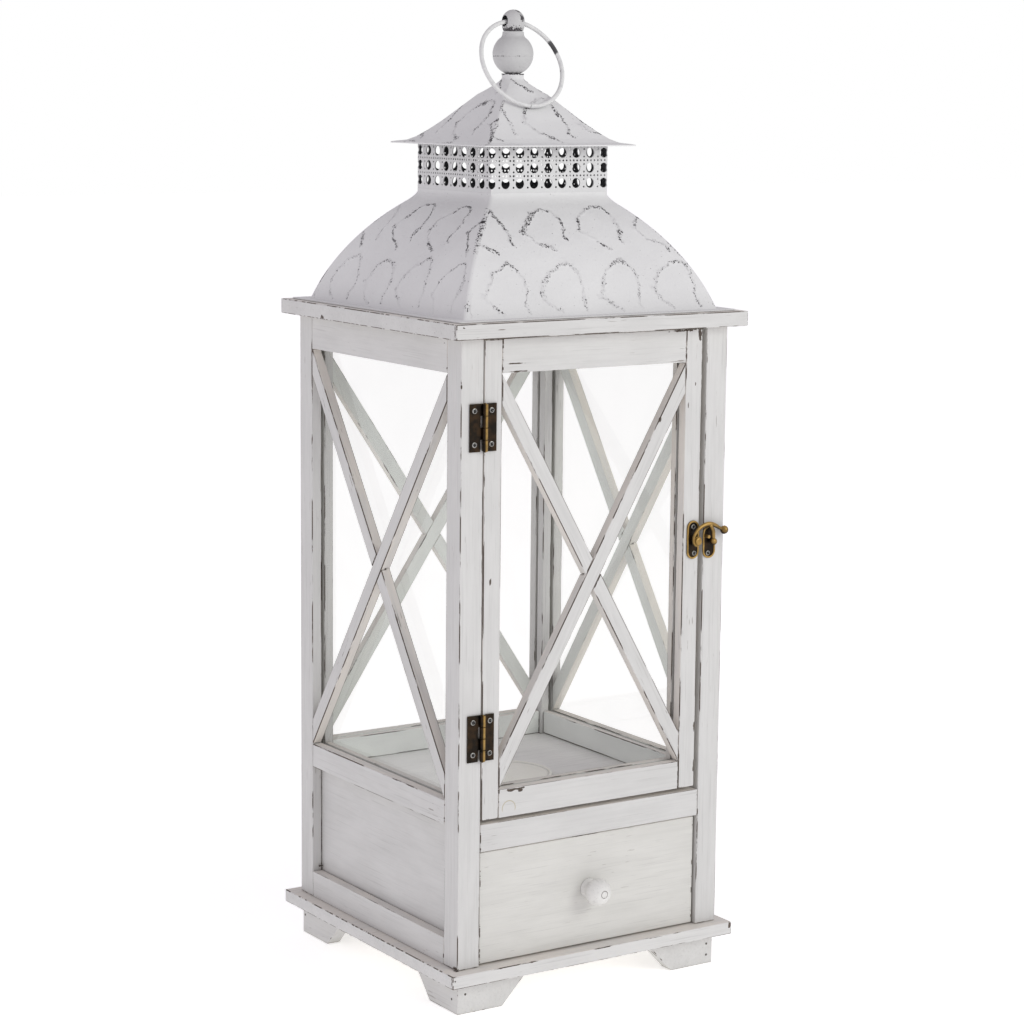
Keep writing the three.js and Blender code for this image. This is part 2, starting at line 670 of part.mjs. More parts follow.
function finialEye() {
  const dome = EYE_TOP - EYE_RADIUS;
  const profile = [[0, EYE_BOTTOM], [EYE_RADIUS - 1.8, EYE_BOTTOM], [EYE_RADIUS - 0.3, EYE_BOTTOM + 3]];
  const steps = 5;
  for (let step = 0; step < steps; step += 1) {
    const angle = Math.PI / 2 * step / steps;
    profile.push([EYE_RADIUS * Math.cos(angle), dome + EYE_RADIUS * Math.sin(angle)]);
  }
  const hole = cylinder(EYE_HOLE_RADIUS, 4 * EYE_RADIUS, 12).rotateZ(Math.PI / 2);
  return cutFrom(turned([...profile, [0, EYE_TOP]], 20), [hole.translate(0, 0, EYE_HOLE_HEIGHT)]);
}

function liftingRing() {
  const ring = new THREE.TorusGeometry(RING_RADIUS, RING_WIRE_RADIUS, 8, 40).rotateX(Math.PI / 2);
  ring.translate(0, 0, -RING_RADIUS).rotateX(-radians(RING_LEAN));
  return ring.translate(RING_SHIFT, 0, RING_TOP);
}

function addRoof() {
  add('cornice_board', cornice(), paintedWood);
  add('roof_dome', roofDome(), paintedMetal);
  add('vent_collar', ventCollar(), paintedMetal);
  add('roof_cap', roofCap(), paintedMetal);
  add('finial_ball', finialBall(), paintedMetal);
  add('finial_eye', finialEye(), paintedMetal);
  add('lifting_ring', liftingRing(), paintedMetal);
}

addStand();
addSides();
addInside();
addRoof();
addDoor();
addHinges();
addLatch();
addDrawer();

export default lantern;
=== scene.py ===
"""The looks of a candle lantern: distressed white paint on wooden boards, an embossed and
perforated roof of enamelled sheet metal, and antique brass hardware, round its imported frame."""

import json
import math
import random

import bmesh
import bpy
import numpy as np
from mathutils import Matrix, Vector, noise


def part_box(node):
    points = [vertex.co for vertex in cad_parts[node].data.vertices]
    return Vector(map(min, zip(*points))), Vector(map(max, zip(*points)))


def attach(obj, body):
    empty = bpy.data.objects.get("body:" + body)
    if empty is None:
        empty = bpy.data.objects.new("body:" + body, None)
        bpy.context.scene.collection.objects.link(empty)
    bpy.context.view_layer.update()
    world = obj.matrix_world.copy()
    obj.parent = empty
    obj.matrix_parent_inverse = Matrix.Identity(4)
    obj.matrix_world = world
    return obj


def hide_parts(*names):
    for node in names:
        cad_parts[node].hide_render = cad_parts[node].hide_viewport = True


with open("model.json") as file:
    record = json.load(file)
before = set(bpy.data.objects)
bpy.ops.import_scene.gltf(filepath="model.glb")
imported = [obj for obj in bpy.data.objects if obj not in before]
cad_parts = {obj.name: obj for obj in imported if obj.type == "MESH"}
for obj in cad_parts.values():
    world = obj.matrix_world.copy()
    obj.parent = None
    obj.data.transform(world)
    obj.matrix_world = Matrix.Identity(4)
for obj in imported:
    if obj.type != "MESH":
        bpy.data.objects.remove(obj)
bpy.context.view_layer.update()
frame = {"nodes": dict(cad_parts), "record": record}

MM = 0.001
NODES = frame["nodes"]


def middle(node):
    low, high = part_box(node)
    return (low + high) / 2


AXIS_Y = middle("cornice_board").y  # the lantern's upright axis stands at X = 0 and this Y
FACE_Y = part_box("post_front_left")[0].y  # the cabinet's front face
CABINET_HALF = AXIS_Y - FACE_Y


def at(x, y, z):
    """A place given in millimetres from the lantern's upright axis and the ground."""
    return Vector((x * MM, y * MM + AXIS_Y, z * MM))


# ---------- camera, light and floor ----------

CAMERA_PLACE = Vector((-1.0995, -1.6830 + AXIS_Y, 0.6607))
CAMERA_YAW, CAMERA_PITCH, CAMERA_ROLL = -0.580, -0.159, 0.010  # radians
CAMERA_LENS = 95.5
CAMERA_SENSOR = 36  # millimetres, as the lens is
SKY_COLOUR = (1.0, 0.965, 1.025)
SKY_STRENGTH = 0.6
LAMP_AIM = (0, 0, 0.35)
# Each lamp's name, place, size, power and colour.
LAMPS = [("key", (1.1, -2.7, 1.7), 1.5, 30, (0.965, 1.0, 0.94)),
         ("side", (-3.0, -0.8, 1.7), 2.2, 7, (1.0, 0.98, 1.0))]
FLOOR_SIZE = 24
FLOOR_GLOW = 0.44  # enough for the floor to meet the white background unseen


def make_camera():
    data = bpy.data.cameras.new("camera")
    data.lens = CAMERA_LENS
    data.sensor_width = CAMERA_SENSOR
    data.clip_start = 0.05
    data.clip_end = 50
    camera = bpy.data.objects.new("camera", data)
    bpy.context.scene.collection.objects.link(camera)
    forward = Vector((
        -math.sin(CAMERA_YAW) * math.cos(CAMERA_PITCH),
        math.cos(CAMERA_YAW) * math.cos(CAMERA_PITCH),
        math.sin(CAMERA_PITCH),
    ))
    level = Vector((math.cos(CAMERA_YAW), math.sin(CAMERA_YAW), 0))
    upright = level.cross(forward)
    right = math.cos(CAMERA_ROLL) * level + math.sin(CAMERA_ROLL) * upright
    up = math.cos(CAMERA_ROLL) * upright - math.sin(CAMERA_ROLL) * level
    turn = Matrix((right, up, -forward)).transposed().to_4x4()
    camera.matrix_world = Matrix.Translation(CAMERA_PLACE) @ turn
    bpy.context.scene.camera = camera


def area_light(name, place, size, power, colour):
    data = bpy.data.lights.new(name, "AREA")
    data.shape = "SQUARE"
    data.size = size
    data.energy = power
    data.color = colour
    light = bpy.data.objects.new(name, data)
    light.location = place
    light.rotation_euler = (Vector(LAMP_AIM) - Vector(place)).to_track_quat("-Z", "Y").to_euler()
    bpy.context.scene.collection.objects.link(light)


def make_light():
    """A white studio: even light from all round, and soft lamps before and beside the lantern."""
    scene = bpy.context.scene
    scene.view_settings.view_transform = "Standard"
    world = bpy.data.worlds.new("studio")
    scene.world = world
    world.use_nodes = True
    nodes, links = world.node_tree.nodes, world.node_tree.links
    nodes.clear()
    seen = nodes.new("ShaderNodeBackground")
    seen.inputs["Color"].default_value = (1, 1, 1, 1)
    lit = nodes.new("ShaderNodeBackground")
    lit.inputs["Color"].default_value = (*SKY_COLOUR, 1)
    lit.inputs["Strength"].default_value = SKY_STRENGTH
    path = nodes.new("ShaderNodeLightPath")
    mix = nodes.new("ShaderNodeMixShader")
    out = nodes.new("ShaderNodeOutputWorld")
    links.new(path.outputs["Is Camera Ray"], mix.inputs["Fac"])
    links.new(lit.outputs[0], mix.inputs[1])
    links.new(seen.outputs[0], mix.inputs[2])
    links.new(mix.outputs[0], out.inputs["Surface"])
    for lamp in LAMPS:
        area_light(*lamp)


def make_floor():
    bpy.ops.mesh.primitive_plane_add(size=FLOOR_SIZE)
    floor = bpy.context.object
    floor.name = "floor"
    s = Surface("floor_paper")
    grain = s.noise(s.place(), 40, 3)
    colour = s.mix(grain, (0.96, 0.96, 0.955), (0.98, 0.98, 0.975))
    inputs = {"Base Color": colour, "Roughness": 0.9, "Specular IOR Level": 0.0,
              "Emission Color": (1, 1, 1), "Emission Strength": FLOOR_GLOW}
    floor.data.materials.append(s.surfaced(s.add("BsdfPrincipled", inputs)))


# ---------- node materials ----------


class Surface:
    """A node material. Each call adds a node or two and returns the output that it makes."""

    def __init__(self, name):
        self.data = bpy.data.materials.new(name)
        self.data.use_nodes = True
        self.tree = self.data.node_tree
        self.tree.nodes.clear()

    def feed(self, socket, value):
        if isinstance(value, bpy.types.NodeSocket):
            self.tree.links.new(value, socket)
        elif isinstance(value, tuple) and len(value) == 3 and socket.type == "RGBA":
            socket.default_value = (*value, 1)
        else:
            socket.default_value = value

    def add(self, kind, inputs=None, **settings):
        node = self.tree.nodes.new("ShaderNode" + kind)
        for key, value in settings.items():
            setattr(node, key, value)
        for key, value in (inputs or {}).items():
            self.feed(node.inputs[key], value)
        return node

    def math(self, operation, a, b=0.0, clamp=False):
        return self.add("Math", {0: a, 1: b}, operation=operation, use_clamp=clamp).outputs[0]

    def times(self, a, b):
        return self.math("MULTIPLY", a, b)

    def plus(self, a, b):
        return self.math("ADD", a, b)

    def minus(self, a, b):
        return self.math("SUBTRACT", a, b)

    def vector(self, operation, a, b=(0, 0, 0)):
        node = self.add("VectorMath", {0: a, 1: b}, operation=operation)
        single = operation in ("DOT_PRODUCT", "DISTANCE", "LENGTH")
        return node.outputs["Value" if single else "Vector"]

    def scaled(self, vector, times):
        return self.add("VectorMath", {0: vector, "Scale": times}, operation="SCALE").outputs[0]

    def place(self):
        return self.add("TexCoord").outputs["Object"]

    def own(self, name, output="Fac"):
        """A property of the object that wears this material."""
        return self.add("Attribute", attribute_type="OBJECT", attribute_name=name).outputs[output]

    def drawn(self, name, output="Fac"):
        """An attribute of the mesh that wears this material."""
        return self.add("Attribute", attribute_name=name).outputs[output]

    def noise(self, vector, scale, detail=3.0, roughness=0.5):
        inputs = {"Vector": vector, "Scale": scale, "Detail": detail, "Roughness": roughness}
        return self.add("TexNoise", inputs).outputs["Fac"]

    def ramp(self, value, low, high, to_low=0.0, to_high=1.0):
        inputs = {"Value": value, "From Min": low, "From Max": high,
                  "To Min": to_low, "To Max": to_high}
        return self.add("MapRange", inputs, interpolation_type="SMOOTHSTEP").outputs["Result"]

    def mix(self, factor, a, b, blend="MIX"):
        node = self.add("Mix", {"Factor": factor}, data_type="RGBA", blend_type=blend)
        self.feed(node.inputs[6], a)
        self.feed(node.inputs[7], b)
        return node.outputs[2]

    def nearness(self, reach, inside):
        """1 close to an outer edge of the body (inside) or deep in a corner or gap, else 0."""
        node = self.add("AmbientOcclusion", {"Distance": reach}, inside=inside, samples=6)
        return self.minus(1.0, node.outputs["AO"])

    def spots(self, place, table):
        """How deep a place is in the nearest of a table of [x, y, z, reach x, y, z] blots: 1 at
        the middle of one, 0 at its rim and beyond."""
        deepest = None
        for x, y, z, reach_x, reach_y, reach_z in table:
            away = self.vector("SUBTRACT", place, (x, y, z))
            away = self.vector("MULTIPLY", away, (1 / reach_x, 1 / reach_y, 1 / reach_z))
            depth = self.math("SUBTRACT", 1.0, self.vector("LENGTH", away), clamp=True)
            deepest = depth if deepest is None else self.math("MAXIMUM", deepest, depth)
        return deepest

    def bump(self, height, strength, distance):
        inputs = {"Height": height, "Strength": strength, "Distance": distance}
        return self.add("Bump", inputs).outputs["Normal"]

    def finish(self, colour, roughness, normal=None, metallic=0.0, specular=0.5):
        inputs = {"Base Color": colour, "Roughness": roughness, "Metallic": metallic,
                  "Specular IOR Level": specular}
        if normal is not None:
            inputs["Normal"] = normal
        return self.surfaced(self.add("BsdfPrincipled", inputs))

    def surfaced(self, shader):
        """The material, with a shader node as its surface."""
        out = self.add("OutputMaterial")
        self.tree.links.new(shader.outputs[0], out.inputs["Surface"])
        return self.data


WOOD_LIGHT = (0.610, 0.606, 0.602)
WOOD_DULL = (0.574, 0.570, 0.566)
WOOD_BACKS_LIT = (0.80, 0.82, 0.79), (0.74, 0.755, 0.73)  # painted light: a lighter paint on the backs of braces and rails, which look into the lantern, where less light reaches
WOOD_THIN_AND_LIT = (0.75, 0.705, 0.65)  # thin paint on side faces, which lets the wood's colour through, kept light as painted light where little light reaches these faces
DEEP_GAP_SHADE = (0.105, 0.066, 0.042)  # painted shade: dark brown deep in narrow gaps and corners between boards
# Painted shade: grey-brown darkening in corners and gaps between boards.
GAP_SHADE = (0.16, 0.145, 0.125)
CHIP_AND_JOINT_SHADE = (0.055, 0.05, 0.055)  # dark metal where the enamel is chipped off, and painted shade where the finial's parts meet
DARK_INSIDE_AND_SHADE = (0.022, 0.023, 0.026)  # the dark inner faces of the sheet metal, and painted shade under the candle dish's rim

# Places where the paint is knocked off: [x, y, z, reach in x, y and z] in millimetres from the
# lantern's upright axis and the ground.
SCARS = [
    (-69, -114.5, 464.2, 10, 2, 0.9), (-68, -114.5, 458.6, 16, 2, 1.1), (74, -114.5, 480.9, 16, 2, 1.5),
    (89.6, -114.5, 477.5, 3, 3, 6), (-42.9, -114.5, 480.7, 3.4, 2, 1.1), (86.3, -114.5, 441.8, 0.8, 2, 3),
    (80.3, -114.5, 427.2, 0.8, 2, 6), (54.9, -114.5, 417.8, 1.4, 2, 3), (91.7, -114.5, 365.4, 0.9, 2, 5),
    (-125, 61.3, 484.8, 2, 3.4, 2.8), (-114.5, 40.7, 467.4, 2, 1.4, 1.2),
    (-114.5, -92.1, 478.5, 2, 1.2, 1.2), (-114.5, -114.5, 450, 1.2, 1.2, 2),
    (-125, -122.9, 488.5, 2, 1.0, 9), (-123.75, -122.3, 28, 2, 0.9, 9),
    (-119.1, -125, 491.5, 2, 2, 1.2), (-114.5, -112.5, 34.3, 6, 6, 2),
    (-82.7, -123.75, 32.5, 3, 2, 1.0), (-56.8, -123.75, 32.5, 2.4, 2, 0.9),
    (121.8, -123.75, 29.6, 2, 2, 4.5),
    (-109.95, -16.9, 111.1, 2, 1.6, 0.9), (-109.95, -43.9, 114.4, 2, 2.6, 0.8),
    (-67.5, -114.5, 159.9, 12, 2, 1.7), (-62.3, -114.5, 158.4, 4, 2, 1.9),
    (91.4, -114.5, 186.4, 1.4, 2, 6), (91.8, -114.5, 157, 1.3, 2, 9), (70, -114.5, 161.5, 6, 3, 1.5),
    (-89.3, -114.5, 311.5, 1.6, 2, 3.6), (30, -114.5, 482.2, 30, 2, 1.0), (61, -109.65, 10, 4, 4, 9),
]
# A plug's outline in the door's lower corner, in millimetres: x, y, z and radius.
PLUG_RING = (-72.1, -114.5, 146.6, 5.5)
RING_PATCH = (30.0, -7.8, 681.3)  # where the lifting ring is rubbed bare, in millimetres
LOWER_ROW = (0.515, 0.545)  # the heights between which the dome's fainter lower leaves end


def painted_wood(name, at_edge):
    """Whitewashed boards, or the rubbed strip along their edges. An object's grain property is
    the direction of its grain, its board property shifts the pattern, so that no two boards
    look alike, its show property has a 1 for each axis along which a well painted face looks,
    its outward property is the direction in which a brace or rail looks, its wear property says
    how far its edges are rubbed, its warmth how yellow it is, and its tone how light."""
    s = Surface(name)
    place = s.place()
    grain = s.own("grain", "Vector")
    along = s.vector("DOT_PRODUCT", place, grain)
    across = s.vector("SUBTRACT", place, s.scaled(grain, along))
    shift = s.own("board", "Vector")

    def stretched(times):
        slow = s.math("DIVIDE", along, times)
        return s.vector("ADD", s.vector("ADD", across, s.scaled(grain, slow)), shift)

    loose = s.vector("ADD", place, shift)
    patches = s.noise(loose, 11, 2)
    mottle = s.noise(stretched(3), 60, 5, 0.6)
    brush = s.noise(stretched(25), 420, 4, 0.6)
    pores = s.noise(stretched(14), 800, 2, 0.5)
    colour = s.mix(s.ramp(mottle, 0.3, 0.7), WOOD_LIGHT, WOOD_DULL)
    colour = s.scaled(s.mix(s.own("warmth"), colour, (1.0, 0.995, 0.955), "MULTIPLY"), s.own("tone"))
    colour = s.scaled(colour, s.ramp(brush, 0.32, 0.68, 0.97, 1.04))

    facing = s.add("TexCoord").outputs["Normal"]
    level = s.vector("DOT_PRODUCT", s.vector("ABSOLUTE", facing), s.own("show", "Vector"))
    hidden = s.ramp(level, 0.4, 0.6, 1.0, 0.0)
    # Side faces get thin paint, kept light as painted light, as little light reaches them.
    thin = s.times(hidden, s.ramp(s.noise(stretched(6), 90, 4, 0.6), 0.35, 0.6, 0.4, 0.85))
    colour = s.mix(thin, colour, WOOD_THIN_AND_LIT)
    wear = s.own("wear")
    streaky = s.times(s.ramp(brush, 0.5, 0.78), s.ramp(patches, 0.35, 0.65, 0.05, 0.32))
    colour = s.mix(streaky, colour, (0.42, 0.41, 0.40))
    bare = s.times(s.ramp(pores, 0.68, 0.73), s.ramp(patches, 0.48, 0.62, 0.0, 0.9))
    colour = s.mix(s.times(bare, wear), colour, (0.16, 0.13, 0.11))
    hairs = s.ramp(s.noise(stretched(50), 900, 2), 0.62, 0.69, 0.0, 0.2)
    colour = s.mix(hairs, colour, (0.30, 0.29, 0.28))

    # The backs of braces and rails look into the lantern, behind the glass: they get a lighter paint,
    # painted light for the light they lack, and no painted shade.
    backed = s.ramp(s.vector("DOT_PRODUCT", facing, s.own("outward", "Vector")), -0.9, -0.5)
    lit_backs = s.mix(s.ramp(mottle, 0.35, 0.65), *WOOD_BACKS_LIT)
    colour = s.mix(backed, lit_backs, colour)
    backed = s.times(backed, s.ramp(hidden, 0, 1, 1.0, 0.25))
    # Painted shade in corners and gaps, darkest in the narrowest, left off the backs of braces and rails
    # and weak on side faces.
    corner = s.times(s.nearness(0.0025, inside=False), backed)
    # Painted shade: a soft olive darkening that spreads up to 9 mm out of corners and gaps, as under
    # rails and the cornice.
    soft = s.times(s.nearness(0.009, inside=False), backed)
    colour = s.mix(s.ramp(soft, 0.25, 0.8, 0.0, 0.32), colour, (0.40, 0.385, 0.33))
    colour = s.mix(s.ramp(corner, 0.4, 0.75, 0.0, 0.5), colour, GAP_SHADE)
    colour = s.mix(s.ramp(corner, 0.75, 0.95, 0.0, 0.9), colour, DEEP_GAP_SHADE)

    ragged = s.noise(stretched(3), 430, 3, 0.6)
    scar = s.spots(place, [(*at(*scar[:3]), *(reach * MM for reach in scar[3:])) for scar in SCARS])
    torn = s.plus(scar, s.times(s.minus(ragged, 0.5), 2.2))
    gone = s.times(s.ramp(torn, 0.42, 0.5), s.ramp(scar, 0.02, 0.12))
    if at_edge:
        broken = s.noise(stretched(7), 170, 5, 0.65)
        limit = s.minus(0.64, s.times(wear, 0.2))
        gone = s.math("MAXIMUM", gone, s.ramp(s.minus(broken, limit), 0.0, 0.05))
    timber = s.mix(s.noise(loose, 60, 2), (0.032, 0.024, 0.019), (0.13, 0.10, 0.08))
    colour = s.mix(gone, colour, timber)
    x, y, z, radius = PLUG_RING
    away = s.vector("DISTANCE", place, tuple(at(x, y, z)))
    ring = s.ramp(s.math("ABSOLUTE", s.minus(away, radius * MM)), 0.0002, 0.0005, 0.75, 0.0)
    upper = s.ramp(s.vector("DOT_PRODUCT", place, (0, 0, 1)), (z - 3) * MM, z * MM)
    colour = s.mix(s.times(ring, upper), colour, (0.42, 0.36, 0.23))

    height = s.plus(s.times(brush, 0.6), s.times(mottle, 0.5))
    height = s.minus(height, s.times(gone, 0.5))
    roughness = s.ramp(mottle, 0.3, 0.7, 0.5, 0.64)
    return s.finish(colour, roughness, s.bump(height, 0.3, 0.0006), specular=0.3)


def enamel(name, light, dull):
    """Enamel on sheet metal, chipped along the embossed ridges and the folds, with painted shade
    along the ridges and in corners, and a painted highlight on the ridges' crests. The mesh's
    ridge attribute is 1 on a ridge and 0 from 3 mm off, and lean is how many millimetres off,
    with a sign for the side. Its attribute for folds says how rubbed a fold is, and where the
    finial's parts meet, how much painted shade darkens the joint. Its inside attribute is 1
    where the sheet is dark: on its inner faces, in the finial's eye, and as painted shade under
    the candle dish's rim. A mesh without one of them has 0 there."""
    s = Surface(name)
    place = s.place()
    ridge, lean, fold, inside = (s.drawn(key) for key in ("ridge", "lean", "fold", "inside"))
    specks = s.noise(place, 800, 4, 0.6)
    patches = s.noise(place, 60, 3)
    drift = s.noise(place, 14, 3)
    jagged = s.times(s.minus(s.noise(place, 340, 4, 0.75), 0.5), 7.5)
    off = s.math("ABSOLUTE", s.plus(lean, jagged))
    close = s.ramp(ridge, 0.45, 0.75)
    close = s.times(close, s.ramp(s.noise(place, 34, 2), 0.36, 0.46, 0.15, 1.0))
    low = s.ramp(s.vector("DOT_PRODUCT", place, (0, 0, 1)), *LOWER_ROW, 1.0, 0.0)
    close = s.times(close, s.ramp(low, 0, 1, 1.0, 0.55))
    beads = s.noise(place, 520, 2)
    crest = s.times(s.ramp(off, 0.1, 0.75, 1.0, 0.0), close)
    crest = s.times(crest, s.ramp(beads, 0.4, 0.6, 0.0, 1.0))
    rubbed = s.ramp(s.minus(patches, s.times(low, 0.24)), 0.42, 0.52)
    dashes = s.times(s.ramp(s.noise(place, 460, 2), 0.50, 0.54), rubbed)
    thick = s.ramp(beads, 0.35, 0.65, 0.0, 0.42)
    thin = s.ramp(s.minus(off, thick), 0.0, 0.2, 1.0, 0.0)
    dark = s.times(s.times(thin, close), dashes)
    colour = s.mix(s.ramp(drift, 0.3, 0.7), light, dull)
    # Painted shade along the embossed ridges, and a painted highlight on their crests.
    colour = s.mix(s.ramp(ridge, 0.4, 0.8, 0.0, 0.10), colour, (0.40, 0.39, 0.41))
    colour = s.mix(s.times(crest, 0.6), colour, (0.82, 0.81, 0.82))
    around = s.times(s.ramp(ridge, 0.25, 0.75), s.ramp(patches, 0.36, 0.52))
    limit = s.minus(0.70, s.times(around, s.ramp(low, 0, 1, 0.18, 0.125)))
    worn = s.plus(s.noise(place, 38, 2), s.times(fold, 0.2))
    bent_and_joint_shade = s.times(fold, s.ramp(worn, 0.62, 0.78))
    limit = s.minus(limit, s.times(bent_and_joint_shade, 0.18))
    # Chips, and painted shade at the finial's joints, show dark metal.
    chipped_and_joint_shade = s.math("MAXIMUM", dark, s.ramp(s.minus(specks, limit), 0.0, 0.03))
    colour = s.mix(chipped_and_joint_shade, colour, CHIP_AND_JOINT_SHADE)
    # Painted shade: darkening in corners and creases of the sheet.
    corner = s.nearness(0.003, inside=False)
    colour = s.mix(s.ramp(corner, 0.5, 0.9, 0.0, 0.8), colour, (0.10, 0.095, 0.10))
    # Dark inner faces, and painted shade under the candle dish's rim.
    colour = s.mix(inside, colour, s.mix(patches, DARK_INSIDE_AND_SHADE, (0.05, 0.05, 0.055)))
    orange_peel = s.noise(place, 330, 4, 0.6)
    height = s.plus(s.times(orange_peel, 0.32), s.times(crest, 0.42))
    height = s.minus(height, s.times(chipped_and_joint_shade, 0.25))
    roughness = s.ramp(drift, 0.3, 0.7, 0.45, 0.58)
    return s.finish(colour, roughness, s.bump(height, 1.0, 0.0009), specular=0.3)


def ring_enamel():
    """White enamel with one long bare patch, where the ring has been rubbed."""
    s = Surface("ring_enamel")
    place = s.place()
    away = s.vector("DISTANCE", place, tuple(at(*RING_PATCH)))
    ragged = s.plus(away, s.times(s.noise(place, 500, 3), 0.004))
    bare = s.ramp(ragged, 0.0072, 0.0088, 1.0, 0.0)
    cloud = s.noise(place, 300, 3)
    colour = s.mix(s.ramp(cloud, 0.3, 0.7), (0.70, 0.70, 0.69), (0.62, 0.62, 0.62))
    colour = s.mix(s.ramp(cloud, 0.68, 0.72, 0.0, 0.6), colour, (0.2, 0.2, 0.2))
    colour = s.mix(bare, colour, (0.06, 0.06, 0.062))
    return s.finish(colour, 0.4, s.bump(cloud, 0.2, 0.0003), specular=0.4)


def antique_brass():
    """Dark patinated brass, rubbed bright along its edges and where the mesh's brightness attribute is
    high: rubbed polish, and on the hinge knuckles and the latch hook a painted highlight.
    """
    s = Surface("antique_brass")
    place = s.place()
    cloud = s.noise(place, 190, 4, 0.6)
    edge = s.nearness(0.0006, inside=True)
    bright = s.math("ADD", s.ramp(edge, 0.3, 0.6, 0.0, 0.4), s.drawn("polish"), clamp=True)
    bright = s.times(bright, s.ramp(cloud, 0.3, 0.6, 0.6, 1.0))
    dark = s.mix(s.ramp(cloud, 0.38, 0.7), (0.010, 0.007, 0.004), (0.038, 0.021, 0.009))
    corner = s.nearness(0.0015, inside=False)
    dark = s.mix(s.ramp(corner, 0.3, 0.7), dark, (0.008, 0.006, 0.005))
    colour = s.mix(bright, dark, (0.50, 0.315, 0.095))
    grit = s.noise(place, 1500, 2)
    roughness = s.ramp(cloud, 0.3, 0.7, 0.3, 0.48)
    return s.finish(colour, roughness, s.bump(grit, 0.15, 0.0002), metallic=0.8)


def screw_steel():
    """Steel, bright where the mesh's brightness attribute is high and black elsewhere."""
    s = Surface("screw_steel")
    place = s.place()
    cloud = s.noise(place, 600, 3)
    colour = s.mix(s.ramp(cloud, 0.35, 0.65), (0.40, 0.40, 0.385), (0.25, 0.245, 0.235))
    colour = s.mix(s.ramp(cloud, 0.6, 0.66, 0.0, 0.7), colour, (0.05, 0.045, 0.04))
    colour = s.mix(s.drawn("polish"), (0.010, 0.009, 0.008), colour)
    return s.finish(colour, 0.34, s.bump(cloud, 0.2, 0.0002), metallic=0.9)


def nail_iron():
    s = Surface("nail_iron")
    cloud = s.noise(s.place(), 700, 3)
    colour = s.mix(cloud, (0.04, 0.036, 0.032), (0.12, 0.10, 0.085))
    return s.finish(colour, 0.6, s.bump(cloud, 0.3, 0.0002), metallic=0.3)


def clear_glass():
    """Thin sheet glass: a faint tint, a little dust, and a clear reflection."""
    s = Surface("sheet_glass")
    place = s.place()
    dust = s.ramp(s.noise(place, 30, 4), 0.45, 0.75, 0.0, 0.012)
    tint = s.mix(s.noise(place, 6, 1), (0.980, 0.981, 0.975), (0.984, 0.985, 0.979))
    clear = s.add("BsdfTransparent", {"Color": tint})
    gloss = s.add("BsdfGlossy", {"Color": (0.95, 1.0, 0.97), "Roughness": 0.02})
    film = s.add("BsdfDiffuse", {"Color": (0.7, 0.7, 0.68)})
    fresnel = s.add("Fresnel", {"IOR": 1.45}).outputs[0]
    shine = s.add("MixShader", {0: s.times(fresnel, 0.1), 1: clear.outputs[0],
                                2: gloss.outputs[0]})
    return s.surfaced(s.add("MixShader", {0: dust, 1: shine.outputs[0], 2: film.outputs[0]}))


WOOD = painted_wood("painted_wood", False)
WOOD_EDGE = painted_wood("painted_wood_edge", True)
ENAMEL = enamel("white_enamel", (0.725, 0.724, 0.722), (0.685, 0.682, 0.683))
COLLAR_ENAMEL = enamel("collar_enamel", (0.665, 0.664, 0.663), (0.63, 0.628, 0.63))
# The finial's enamel is a darker copy of the white enamel, painted shade.
FINIAL_ENAMEL = enamel("grey_enamel", (0.56, 0.558, 0.556), (0.48, 0.478, 0.478))
# The dish's warm white enamel is lighter than the roof's, painted light: the dish stands inside the
# lantern, where less light reaches.
DISH_ENAMEL = enamel("dish_enamel", (0.90, 0.885, 0.83), (0.87, 0.855, 0.80))
RING_PAINT = ring_enamel()
BRASS = antique_brass()
STEEL = screw_steel()
IRON = nail_iron()
GLASS = clear_glass()


# ---------- mesh helpers ----------


def new_piece(name, mesh, body, material, replaces=()):
    """A finished piece of the lantern, which rides on a body and may stand for CAD nodes."""
    piece = bpy.data.objects.new(name, mesh)
    bpy.context.scene.collection.objects.link(piece)
    mesh.materials.clear()
    mesh.materials.append(material)
    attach(piece, body)
    if replaces:
        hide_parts(*replaces)
    return piece


def mesh_of(builder, degrees=35):
    """A mesh from a bmesh, smooth except over edges sharper than an angle."""
    bmesh.ops.recalc_face_normals(builder, faces=builder.faces)
    limit = math.radians(degrees)
    for face in builder.faces:
        face.smooth = True
    for edge in builder.edges:
        edge.smooth = len(edge.link_faces) != 2 or edge.calc_face_angle(0) < limit
    mesh = bpy.data.meshes.new("mesh")
    builder.to_mesh(mesh)
    builder.free()
    return mesh


def attribute(mesh, name, values):
    layer = mesh.attributes.new(name, "FLOAT", "POINT")
    layer.data.foreach_set("value", np.asarray(values, dtype=np.float32))


def stitch(builder, rings, closed):
    """Makes the faces between each ring of vertices and the next. closed also joins the last
    ring to the first."""
    for one, two in zip(rings, rings[1:] + (rings[:1] if closed else [])):
        for part in range(len(one)):
            after = (part + 1) % len(one)
            builder.faces.new((one[part], one[after], two[after], two[part]))


def turned(profile, segments):
    """A bmesh of a profile of [radius, height] turned about Z. Its ends are on the axis."""
    builder = bmesh.new()
    rings = []
    turn = [2 * math.pi * step / segments for step in range(segments)]
    for radius, height in profile:
        if radius < 1e-7:
            rings.append([builder.verts.new((0, 0, height))])
        else:
            rings.append([builder.verts.new((radius * math.cos(a), radius * math.sin(a), height))
                          for a in turn])
    for lower, upper in zip(rings, rings[1:]):
        for step in range(segments):
            after = (step + 1) % segments
            corners = [lower[step % len(lower)], lower[after % len(lower)],
                       upper[after % len(upper)], upper[step % len(upper)]]
            unique = list(dict.fromkeys(corners))
            if len(unique) > 2:
                builder.faces.new(unique)
    return builder


def arc(centre, radius, start, end, steps):
    """Points on an arc in a plane, with its angles in degrees."""
    angles = [math.radians(start + (end - start) * step / steps) for step in range(steps + 1)]
    return [(centre[0] + radius * math.cos(a), centre[1] + radius * math.sin(a)) for a in angles]


